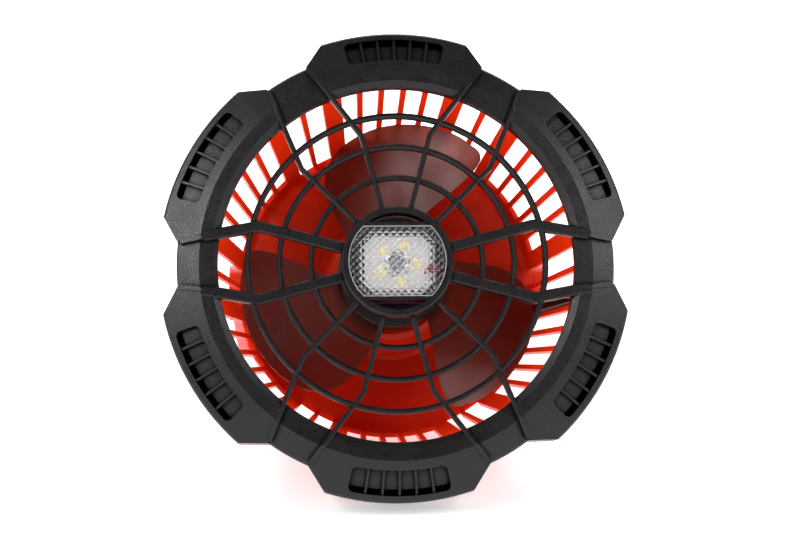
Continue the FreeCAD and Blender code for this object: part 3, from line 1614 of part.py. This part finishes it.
hb = n("bail_thick") / 2
sk = sketch(o, "YZ_Plane", "pad_profile", lift=-48.0)
poly(
    sk,
    [
        (-hb - 0.02, -118.5),
        (sole(121.5), -121.5),
        (sole(128.9), -128.9),
        (-hb + 3.4, -128.9),
        (-hb + 3.4, -127.02),
        (-hb - 0.02, -127.02),
    ],
)
pad(o, sk, 20, "pad_left")
sk = sketch(o, "YZ_Plane", "pad_profile_right", lift=28.0)
poly(
    sk,
    [
        (-hb - 0.02, -118.5),
        (sole(121.5), -121.5),
        (sole(128.9), -128.9),
        (-hb + 3.4, -128.9),
        (-hb + 3.4, -127.02),
        (-hb - 0.02, -127.02),
    ],
)
pad(o, sk, 20, "pad_right")
done(o, "foot_pads", BAIL)

bolts, nuts, washers = [], [], []
zp = -n("pivot_depth")
for sgn in (1, -1):
    nm = "r" if sgn > 0 else "l"
    shank = cyl("bolt_shank_" + nm, d("pivot_r"), 17.8, 67.2 if sgn > 0 else -85.0, 0, zp, "x")
    head = cyl("bolt_head_" + nm, 6.0, 2.5, 82.65 if sgn > 0 else -85.15, 0, zp, "x")
    hexa = prim("Prism", "bolt_socket_" + nm, at(83.8 if sgn > 0 else -86.0, 0, zp, (0, 1, 0), 90), Circumradius=2.3, Height=2.2)
    hexa.Polygon = 6
    bolts.append(cut("bolt_" + nm, fuse("bolt_body_" + nm, [shank, head]), hexa))
    hexn = prim("Prism", "nut_hex_" + nm, at(67.7 if sgn > 0 else -70.95, 0, zp, (0, 1, 0), 90), Circumradius=5.2, Height=3.25)
    hexn.Polygon = 6
    nuts.append(cut("nut_" + nm, hexn, cyl("nut_bore_" + nm, d("pivot_r") + 0.02, 6, 66.4 if sgn > 0 else -72.4, 0, zp, "x")))
    wo = cyl("washer_outer_" + nm, 9.5, 0.95, 77.22 if sgn > 0 else -78.17, 0, zp, "x")
    wi = cyl("washer_bore_" + nm, 3.2, 2.8, 76.3 if sgn > 0 else -79.1, 0, zp, "x")
    washers.append(cut("washer_" + nm, wo, wi))
done(group("pivot_bolts_group", bolts), "pivot_bolts")
done(group("pivot_nuts_group", nuts), "pivot_nuts")
done(group("friction_washers_group", washers), "friction_washers")

# motor leads from the end cap through the back plate to the control board
leads = [
    tube([(s0 * 4.5, 0.0, -93.3), (s0 * 4.5, 0.0, -99.0), (s0 * 3.4, 2.6, -104.0), (s0 * 2.4, 8.6, -112.0), (s0 * 2.4, 12.0, -121.55)], 0.8, 3.0)
    for s0 in (-1, 1)
]
done(made("motor_leads_shape", Part.Compound(leads)), "motor_leads")

# ================================================================ place, test, write
doc.recompute()
for label, obj, place in NODES:
    obj.Placement = place.multiply(obj.Placement)
doc.recompute()
bad = [
    (obj.Name, obj.State)
    for obj in doc.Objects
    if any(word in ("Invalid", "Error") for word in obj.State)
]
if bad:
    raise SystemExit("failed objects: %s" % bad)
box = FreeCAD.BoundBox()
for label, obj, place in NODES:
    shape = obj.Shape
    if shape.isNull() or not shape.isValid():
        raise SystemExit("bad shape: " + label)
    if not shape.Solids:
        raise SystemExit("no solid: " + label)
    box.add(shape.BoundBox)
    print(
        "%-18s solids %2d  volume %9.0f" % (label, len(shape.Solids), shape.Volume)
    )
print("box", [round(v, 3) for v in (box.XMin, box.XMax, box.YMin, box.YMax, box.ZMin, box.ZMax)])
os.makedirs("parts", exist_ok=True)
for label, obj, place in NODES:
    obj.Shape.exportStep(os.path.join("parts", label + ".step"))
print(len(NODES), "parts written")
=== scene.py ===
import json
import math

import bmesh
import bpy
from mathutils import Matrix, Vector


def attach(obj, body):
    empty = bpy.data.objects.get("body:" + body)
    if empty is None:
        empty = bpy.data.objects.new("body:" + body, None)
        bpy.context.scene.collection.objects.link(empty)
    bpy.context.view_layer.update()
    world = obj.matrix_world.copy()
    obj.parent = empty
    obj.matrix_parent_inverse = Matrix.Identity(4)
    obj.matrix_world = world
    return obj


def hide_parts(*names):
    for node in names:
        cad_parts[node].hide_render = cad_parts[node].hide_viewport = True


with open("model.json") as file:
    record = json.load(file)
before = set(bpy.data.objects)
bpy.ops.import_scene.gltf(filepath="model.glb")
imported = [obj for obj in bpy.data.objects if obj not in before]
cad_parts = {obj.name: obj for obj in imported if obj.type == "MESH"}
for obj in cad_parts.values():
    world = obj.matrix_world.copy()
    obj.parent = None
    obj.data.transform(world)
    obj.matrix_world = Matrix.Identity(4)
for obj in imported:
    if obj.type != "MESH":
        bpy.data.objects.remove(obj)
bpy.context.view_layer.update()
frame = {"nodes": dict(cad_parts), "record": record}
nodes = frame["nodes"]
scene = bpy.context.scene

# ------------------------------------------------------------------ frames
# The fan's own frame: origin on its axis in the plane of the lugs' front rim,
# x right, y up, z forwards.  It leans back by LEAN and stands on the floor.
LEAN, HEIGHT, SHIFT_Y = math.radians(22.0), 0.11487, -0.084963
FAN = Matrix.Translation((0, SHIFT_Y, HEIGHT)) @ Matrix.Rotation(
    math.radians(90.0) - LEAN, 4, "X"
)

# ------------------------------------------------------------------ camera
TILT, YAW, ROLL = math.radians(8.0), math.radians(2.8), math.radians(0.38)
DIST, FOCAL_PX = 0.8246, 1702.0


def rot(axis, a):
    return Matrix.Rotation(a, 4, axis)


seen = rot("Y", YAW) @ rot("X", -TILT) @ rot("Z", ROLL)
eye = FAN @ seen.inverted() @ Matrix.Translation((0, 0, DIST))
cam_data = bpy.data.cameras.new("camera")
cam = bpy.data.objects.new("camera", cam_data)
scene.collection.objects.link(cam)
cam.matrix_world = eye
cam_data.sensor_fit = "HORIZONTAL"
cam_data.sensor_width = 36.0
cam_data.lens = FOCAL_PX / 800.0 * 36.0
cam_data.shift_x = 3.5 / 800.0
cam_data.shift_y = -2.5 / 800.0
cam_data.clip_start, cam_data.clip_end = 0.01, 50.0
scene.camera = cam


# ------------------------------------------------------------------ materials
class Mat:
    """A procedural material built up from small pieces."""

    def __init__(self, name):
        self.m = bpy.data.materials.new(name)
        self.m.use_nodes = True
        self.t = self.m.node_tree
        self.t.nodes.clear()
        self.out = self.node("ShaderNodeOutputMaterial")
        self.p = self.node("ShaderNodeBsdfPrincipled")
        self.link(self.p.outputs[0], self.out.inputs[0])
        self.co = self.node("ShaderNodeTexCoord").outputs["Object"]

    def node(self, kind, **props):
        n = self.t.nodes.new(kind)
        for k, v in props.items():
            setattr(n, k, v)
        return n

    def link(self, a, b):
        self.t.links.new(a, b)

    def set(self, **values):
        for k, v in values.items():
            s = self.p.inputs[k.replace("_", " ")]
            s.default_value = v if not isinstance(v, tuple) or len(v) == 4 or k == "Subsurface_Radius" else (*v, 1.0)
        return self

    def noise(self, scale, detail=3.0, rough=0.55, stretch=None, distort=0.0):
        n = self.node("ShaderNodeTexNoise")
        n.inputs["Scale"].default_value = scale
        n.inputs["Detail"].default_value = detail
        n.inputs["Roughness"].default_value = rough
        n.inputs["Distortion"].default_value = distort
        src = self.co
        if stretch:
            mp = self.node("ShaderNodeMapping")
            mp.inputs["Scale"].default_value = stretch
            self.link(src, mp.inputs["Vector"])
            src = mp.outputs[0]
        self.link(src, n.inputs["Vector"])
        return n.outputs["Fac"]

    def ramp(self, fac, stops):
        r = self.node("ShaderNodeValToRGB")
        el = r.color_ramp.elements
        while len(el) < len(stops):
            el.new(0.5)
        for e, (at, col) in zip(el, stops):
            e.position = at
            e.color = (*col, 1.0) if len(col) == 3 else col
        self.link(fac, r.inputs["Fac"])
        return r.outputs["Color"]

    def span(self, fac, a, b, low=0.3, high=0.7):
        r = self.node("ShaderNodeMapRange")
        r.inputs["From Min"].default_value = low
        r.inputs["From Max"].default_value = high
        r.inputs["To Min"].default_value = a
        r.inputs["To Max"].default_value = b
        self.link(fac, r.inputs["Value"])
        return r.outputs["Result"]

    def math(self, op, a, b=None):
        n = self.node("ShaderNodeMath", operation=op)
        for i, v in enumerate((a, b)):
            if v is None:
                continue
            if isinstance(v, (int, float)):
                n.inputs[i].default_value = v
            else:
                self.link(v, n.inputs[i])
        return n.outputs[0]

    def mix(self, fac, a, b):
        n = self.node("ShaderNodeMix", data_type="RGBA")
        self.link(fac, n.inputs["Factor"]) if not isinstance(fac, (int, float)) else setattr(
            n.inputs["Factor"], "default_value", fac
        )
        for s, v in (("A", a), ("B", b)):
            sock = [i for i in n.inputs if i.name == s and i.type == "RGBA"][0]
            if isinstance(v, tuple):
                sock.default_value = (*v, 1.0)
            else:
                self.link(v, sock)
        return [o for o in n.outputs if o.type == "RGBA"][0]

    def bump(self, height, strength, distance, soft=None):
        b = self.node("ShaderNodeBump")
        b.inputs["Strength"].default_value = strength
        b.inputs["Distance"].default_value = distance
        self.link(height, b.inputs["Height"])
        if soft:
            self.link(self.soft_edge(soft), b.inputs["Normal"])
        self.link(b.outputs[0], self.p.inputs["Normal"])
        return self

    def soft_edge(self, radius):
        n = self.node("ShaderNodeBevel", samples=6)
        n.inputs["Radius"].default_value = radius
        return n.outputs[0]

    def edge(self, radius, low=0.55, high=0.75):
        """1 along convex edges, from the pointiness of the mesh."""
        g = self.node("ShaderNodeNewGeometry")
        return self.span(g.outputs["Pointiness"], 0.0, 1.0, low, high)


def shade(col, k):
    return tuple(min(1.0, c * k) for c in col)


def moulded(name, col, rough, grain=2600.0, grain_depth=0.00004, strength=0.35, soft=0.0003, mottling=0.12, spec=0.5):
    """Injection-moulded plastic with spark-eroded grain, faint flow clouds and soft edges."""
    m = Mat(name)
    cloud = m.noise(38.0, 3.0, 0.5)
    m.link(m.ramp(cloud, [(0.3, shade(col, 1 - mottling)), (0.7, shade(col, 1 + mottling))]), m.p.inputs["Base Color"])
    fine = m.noise(grain, 2.0, 0.6)
    patch = m.noise(120.0, 2.0, 0.5)
    r = m.math("ADD", m.span(patch, rough - 0.04, rough + 0.04), m.span(fine, -0.10, 0.10))
    m.link(r, m.p.inputs["Roughness"])
    m.set(Specular_IOR_Level=spec)
    m.bump(fine, strength, grain_depth, soft)
    return m


def recess_shade(m, distance, low, high, dark, full):
    """Less sheen inside corners and recesses, where the room's light does not reach."""
    ao = m.node("ShaderNodeAmbientOcclusion", samples=8, only_local=True)
    ao.inputs["Distance"].default_value = distance
    m.link(m.span(ao.outputs["AO"], dark, full, low, high), m.p.inputs["Specular IOR Level"])


M = {}
M["guard_black"] = moulded("guard_black", (0.0058, 0.0044, 0.0055), 0.34, 1500.0, 0.00015, 1.0, 0.00020, 0.2, 0.5)
recess_shade(M["guard_black"], 0.005, 0.50, 0.86, 0.06, 0.5)
M["inner_black"] = moulded("inner_black", (0.0035, 0.0033, 0.0036), 0.5, 2600.0, 0.00003, 0.3, 0.0002, 0.12, 0.35)
M["cap_black"] = moulded("cap_black", (0.0030, 0.0026, 0.0028), 0.42, 3000.0, 0.00002, 0.2, 0.0003, 0.12, 0.35)
M["rubber_black"] = moulded("rubber_black", (0.020, 0.020, 0.021), 0.72, 1800.0, 0.00006, 0.5, 0.0004, 0.2, 0.3)
M["button_grey"] = moulded("button_grey", (0.25, 0.25, 0.27), 0.45, 2600.0, 0.00003, 0.3, 0.0003)

AXIS = (FAN.to_3x3() @ Vector((0, 0, 1)))[:]


def from_axis(mat):
    """The distance from the fan's axis, and the cross product it is the length of."""
    local = mat.node("ShaderNodeVectorTransform", vector_type="POINT", convert_from="OBJECT", convert_to="WORLD")
    mat.link(mat.co, local.inputs[0])
    off = mat.node("ShaderNodeVectorMath", operation="SUBTRACT")
    mat.link(local.outputs[0], off.inputs[0])
    off.inputs[1].default_value = FAN.translation[:]
    cross = mat.node("ShaderNodeVectorMath", operation="CROSS_PRODUCT")
    mat.link(off.outputs[0], cross.inputs[0])
    cross.inputs[1].default_value = AXIS
    length = mat.node("ShaderNodeVectorMath", operation="LENGTH")
    mat.link(cross.outputs[0], length.inputs[0])
    return length, cross


# red ABS: glossy, faintly orange-peeled, with some subsurface; the drum's inner walls also get a painted glow
m = Mat("housing_red")
red = (0.60, 0.027, 0.0028)
cloud = m.noise(30.0, 3.0, 0.5)
m.link(m.ramp(cloud, [(0.3, shade(red, 0.95)), (0.7, shade(red, 1.05))]), m.p.inputs["Base Color"])
peel = m.noise(420.0, 2.0, 0.5)
m.link(m.span(m.noise(90.0, 2.0, 0.5), 0.30, 0.38), m.p.inputs["Roughness"])
m.set(Specular_IOR_Level=0.32, Subsurface_Weight=0.6, Subsurface_Radius=(0.0040, 0.0005, 0.0001), Subsurface_Scale=1.0)
m.bump(peel, 0.2, 0.00003)
# distance from the fan's axis: painted glow, red emission on the slotted drum's inside where it faces inwards; the
# plate and the stand get none
radius, across = from_axis(m)
outward = m.node("ShaderNodeVectorMath", operation="CROSS_PRODUCT")
outward.inputs[0].default_value = AXIS
m.link(across.outputs[0], outward.inputs[1])
unit = m.node("ShaderNodeVectorMath", operation="NORMALIZE")
m.link(outward.outputs[0], unit.inputs[0])
turned = m.node("ShaderNodeVectorMath", operation="DOT_PRODUCT")
m.link(unit.outputs[0], turned.inputs[0])
m.link(m.node("ShaderNodeNewGeometry").outputs["Normal"], turned.inputs[1])
painted_glow_band = m.math("MULTIPLY", m.span(radius.outputs["Value"], 0.02, 0.58, 0.077, 0.093), m.span(radius.outputs["Value"], 1.0, 0.0, 0.1005, 0.1035))
# painted glow: emission standing in for light shining through the thin red walls
m.set(Emission_Color=(1.0, 0.036, 0.0040))
m.link(m.math("MULTIPLY", painted_glow_band, m.span(turned.outputs["Value"], 1.0, 0.08, -0.1, 0.6)), m.p.inputs["Emission Strength"])
M["housing_red"] = m

# smoky see-through blades
m = Mat("blade_smoke")
tint = m.noise(18.0, 2.0, 0.5)
smoke = m.ramp(tint, [(0.3, (0.235, 0.039, 0.021)), (0.7, (0.265, 0.046, 0.026))])
# the blades' colour turns near-black towards their hub
m.link(m.mix(m.span(from_axis(m)[0].outputs["Value"], 0.0, 1.0, 0.0245, 0.0330), (0.006, 0.002, 0.002), smoke), m.p.inputs["Base Color"])
m.link(m.span(m.noise(60.0, 2.0, 0.5), 0.27, 0.34), m.p.inputs["Roughness"])
m.set(Transmission_Weight=0.58, IOR=1.36, Specular_IOR_Level=0.2)
m.bump(m.noise(22.0, 1.0, 0.5), 0.06, 0.00004)
M["blade_smoke"] = m

# clear prism lens with painted glints: white diffuse shows where the facets face up and to the left and on the rim's
# flat top
m = Mat("lens_clear")
m.link(m.ramp(m.noise(60.0), [(0.3, (0.93, 0.94, 0.96)), (0.7, (1.0, 1.0, 1.0))]), m.p.inputs["Base Color"])
m.link(m.span(m.noise(220.0), 0.02, 0.07), m.p.inputs["Roughness"])
m.set(IOR=1.49)
geo = m.node("ShaderNodeNewGeometry")


def facing(mat, direction, low, high, top):
    """0 to top as the facet turns towards a direction given in the fan's frame."""
    dot = mat.node("ShaderNodeVectorMath", operation="DOT_PRODUCT")
    mat.link(geo.outputs["True Normal"], dot.inputs[0])
    dot.inputs[1].default_value = (FAN.to_3x3() @ Vector(direction).normalized())[:]
    return mat.span(dot.outputs["Value"], 0.0, top, low, high)


# painted glint: transmission is turned down on facets facing a fixed light direction and on flat tops, so the white
# base colour shows
painted_glint = m.math("MAXIMUM", facing(m, (-0.55, 0.83, 0.0), 0.12, 0.5, 0.22), facing(m, (0, 0, 1), 0.97, 0.995, 0.55))
front = m.math("SUBTRACT", 1.0, geo.outputs["Backfacing"])
m.link(m.math("SUBTRACT", 1.0, m.math("MULTIPLY", painted_glint, front)), m.p.inputs["Transmission Weight"])
M["lens_clear"] = m

m = Mat("board_white")
m.link(m.ramp(m.noise(140.0), [(0.35, (0.72, 0.70, 0.71)), (0.65, (0.80, 0.78, 0.79))]), m.p.inputs["Base Color"])
m.link(m.span(m.noise(300.0), 0.35, 0.5), m.p.inputs["Roughness"])
# painted light: the board glows faintly and evenly though it is no lamp
m.set(Emission_Color=(1.0, 0.93, 0.96), Emission_Strength=0.25)
m.bump(m.noise(900.0), 0.2, 0.00003, 0.0002)
M["board_white"] = m

m = Mat("chip_yellow")
m.link(m.ramp(m.noise(500.0), [(0.35, (0.90, 0.72, 0.10)), (0.65, (0.95, 0.82, 0.22))]), m.p.inputs["Base Color"])
m.link(m.span(m.noise(800.0), 0.3, 0.5), m.p.inputs["Roughness"])
m.set(Emission_Color=(1.0, 0.85, 0.3), Emission_Strength=0.45)
m.bump(m.noise(1500.0), 0.2, 0.00003, 0.0002)
M["chip_yellow"] = m


def metal(name, col, rough, stretch=(1.0, 1.0, 14.0), soft=0.0002):
    m = Mat(name)
    m.link(m.ramp(m.noise(90.0), [(0.3, shade(col, 0.86)), (0.7, shade(col, 1.1))]), m.p.inputs["Base Color"])
    brush = m.noise(900.0, 3.0, 0.6, stretch)
    m.link(m.span(brush, rough - 0.08, rough + 0.1), m.p.inputs["Roughness"])
    m.set(Metallic=1.0)
    m.bump(brush, 0.15, 0.00003, soft)
    return m


M["steel"] = metal("steel", (0.62, 0.62, 0.64), 0.3)
M["brass"] = metal("brass", (0.78, 0.58, 0.26), 0.28)
M["copper"] = metal("copper", (0.80, 0.42, 0.24), 0.35)
M["magnet_dark"] = metal("magnet_dark", (0.16, 0.16, 0.17), 0.5)


def coated(name, col, rough, grain=1200.0, k=0.15):
    m = Mat(name)
    m.link(m.ramp(m.noise(80.0), [(0.3, shade(col, 1 - k)), (0.7, shade(col, 1 + k))]), m.p.inputs["Base Color"])
    m.link(m.span(m.noise(260.0), rough - 0.06, rough + 0.06), m.p.inputs["Roughness"])
    m.bump(m.noise(grain), 0.2, 0.00003, 0.0002)
    return m


M["wire_red"] = coated("wire_red", (0.55, 0.02, 0.015), 0.45)
M["board_green"] = coated("board_green", (0.02, 0.16, 0.06), 0.35)
M["cell_blue"] = coated("cell_blue", (0.03, 0.13, 0.45), 0.25)
M["gauge_clear"] = coated("gauge_clear", (0.35, 0.75, 0.42), 0.2)

slot_of = {s["node"]: s["material_slot"] for s in frame["record"]["subparts"]}
for name, ob in nodes.items():
    key = slot_of.get(name, "inner_black")
    ob.data.materials.clear()
    ob.data.materials.append(M[key if key in M else "inner_black"].m)

# ------------------------------------------------------------------ lens
# moulded prism lens: a field of four-sided prisms inside a flat polished rim
LENS_R, LENS_FLAT, LENS_Z0, LENS_Z1 = 0.0237, 0.0172, 0.00832, 0.01092
PITCH, DEEP, RIM = 0.0034, 0.0008, 0.0006


def lens_outline(inset):
    """The lens's outline, anticlockwise: two arcs joined by two flats."""
    r, flat = LENS_R - inset, LENS_FLAT - inset
    a0 = math.asin(flat / r)
    pts = []
    for mid in (0.0, math.pi):
        for k in range(25):
            a = mid - a0 + 2 * a0 * k / 24
            pts.append((r * math.cos(a), r * math.sin(a)))
    return pts


def clipped(poly, outline):
    """The part of a convex polygon (x, y, z) inside a convex outline."""
    for k in range(len(outline)):
        (ax, ay), (bx, by) = outline[k], outline[(k + 1) % len(outline)]
        side = [(bx - ax) * (p[1] - ay) - (by - ay) * (p[0] - ax) for p in poly]
        new = []
        for i, p in enumerate(poly):
            q, sp, sq = poly[(i + 1) % len(poly)], side[i], side[(i + 1) % len(poly)]
            if sp >= 0:
                new.append(p)
            if (sp > 0 and sq < 0) or (sp < 0 and sq > 0):
                f = sp / (sp - sq)
                new.append(tuple(p[c] + (q[c] - p[c]) * f for c in range(3)))
        poly = new
        if len(poly) < 3:
            return []
    return poly


def lens_mesh():
    bm = bmesh.new()
    inner = lens_outline(RIM + 0.00002)
    h = PITCH / 2
    for i in range(-16, 17):
        for j in range(-16, 17):
            cx, cy = h * (i + j + 1), h * (i - j)
            if abs(cx) > 0.028 or abs(cy) > 0.021:
                continue
            peak = (cx, cy, LENS_Z1)
            low = LENS_Z1 - DEEP
            ring = [(cx + h, cy, low), (cx, cy + h, low), (cx - h, cy, low), (cx, cy - h, low)]
            for k in range(4):
                tri = clipped([peak, ring[k], ring[(k + 1) % 4]], inner)
                if len(tri) >= 3:
                    bm.faces.new([bm.verts.new(p) for p in tri])
    bmesh.ops.remove_doubles(bm, verts=bm.verts, dist=2e-7)
    bmesh.ops.dissolve_degenerate(bm, edges=bm.edges, dist=1e-7)
    rim = [e for e in bm.edges if len(e.link_faces) == 1]
    down = bmesh.ops.extrude_edge_only(bm, edges=rim)["geom"]
    for v in {g for g in down if isinstance(g, bmesh.types.BMVert)}:
        v.co.z = LENS_Z0
    bmesh.ops.holes_fill(bm, edges=[e for e in bm.edges if len(e.link_faces) == 1], sides=0)
    # the polished rim
    loops = []
    for inset, z in ((0.0, LENS_Z0), (0.0, LENS_Z1 - 0.0003), (0.00022, LENS_Z1), (RIM - 0.0001, LENS_Z1), (RIM, LENS_Z1 - 0.0002), (RIM, LENS_Z0)):
        loops.append([bm.verts.new((x, y, z)) for x, y in lens_outline(inset)])
    for a, b in zip(loops, loops[1:] + loops[:1]):
        for k in range(len(a)):
            n = (k + 1) % len(a)
            bm.faces.new([a[k], a[n], b[n], b[k]])
    bmesh.ops.recalc_face_normals(bm, faces=bm.faces)
    bm.transform(FAN)
    me = bpy.data.meshes.new("prism_lens")
    bm.to_mesh(me)
    bm.free()
    return me


lens = bpy.data.objects.new("prism_lens", lens_mesh())
scene.collection.objects.link(lens)
lens.data.materials.append(M["lens_clear"].m)
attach(lens, "fan_body")
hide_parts("led_lens")

# ------------------------------------------------------------------ stage and light
bm = bmesh.new()
prof = [(-3.0, 0.0), (1.2, 0.0)]
for k in range(1, 13):
    a = math.radians(90.0 * k / 12)
    prof.append((1.2 + 1.2 * math.sin(a), 1.2 - 1.2 * math.cos(a)))
prof.append((2.4, 4.5))
prev = None
for y, z in prof:
    pair = [bm.verts.new((-5.0, y, z)), bm.verts.new((5.0, y, z))]
    if prev:
        bm.faces.new([prev[0], prev[1], pair[1], pair[0]])
    prev = pair
me = bpy.data.meshes.new("floor")
bm.to_mesh(me)
bm.free()
for p in me.polygons:
    p.use_smooth = True
floor = bpy.data.objects.new("floor", me)
scene.collection.objects.link(floor)
fm = Mat("floor_white")
fm.link(fm.ramp(fm.noise(3.0), [(0.3, (0.93, 0.93, 0.93)), (0.7, (0.95, 0.95, 0.95))]), fm.p.inputs["Base Color"])
fm.set(Roughness=0.7, Specular_IOR_Level=0.15, Emission_Color=(1.0, 1.0, 1.0))
# painted shade on the floor: its glow is dimmed in front of the fan, towards the camera, and close to the fan
far = fm.node("ShaderNodeVectorMath", operation="LENGTH")
fm.link(fm.co, far.inputs[0])
ahead = fm.node("ShaderNodeSeparateXYZ")
fm.link(fm.co, ahead.inputs[0])
front_shade_factor = fm.span(ahead.outputs["Y"], 0.04, 1.0, -0.32, -0.16)
fm.link(fm.math("MULTIPLY", front_shade_factor, fm.span(far.outputs["Value"], 0.50, 1.0, 0.22, 0.75)), fm.p.inputs["Emission Strength"])
me.materials.append(fm.m)

world = bpy.data.worlds.new("studio")
scene.world = world
world.use_nodes = True
bg = world.node_tree.nodes["Background"]
bg.inputs[0].default_value = (1.0, 1.0, 1.0, 1.0)
bg.inputs[1].default_value = 0.07


def area(name, loc, target, size, power, size_y=None):
    ld = bpy.data.lights.new(name, "AREA")
    ld.energy = power
    ld.size = size
    if size_y:
        ld.shape = "RECTANGLE"
        ld.size_y = size_y
    ob = bpy.data.objects.new(name, ld)
    scene.collection.objects.link(ob)
    ob.location = loc
    ob.rotation_mode = "QUATERNION"
    ob.rotation_quaternion = (Vector(target) - Vector(loc)).to_track_quat("-Z", "Y")
    return ob


area("side_left", (-0.84, -0.77, 0.76), (0, -0.03, 0.11), 0.40, 9.7, 0.62)
area("side_right", (0.84, -0.77, 0.76), (0, -0.03, 0.11), 0.40, 7.6, 0.62)
area("key_top", (0.0, -0.55, 1.3), (0, -0.04, 0.12), 0.9, 0.4, 0.5)
area("back_top", (0.0, 0.9, 1.0), (0, 0, 0.1), 1.2, 10.0)

scene.view_settings.view_transform = "Standard"
scene.view_settings.look = "None"
scene.view_settings.exposure = 0.0
scene.view_settings.gamma = 1.0
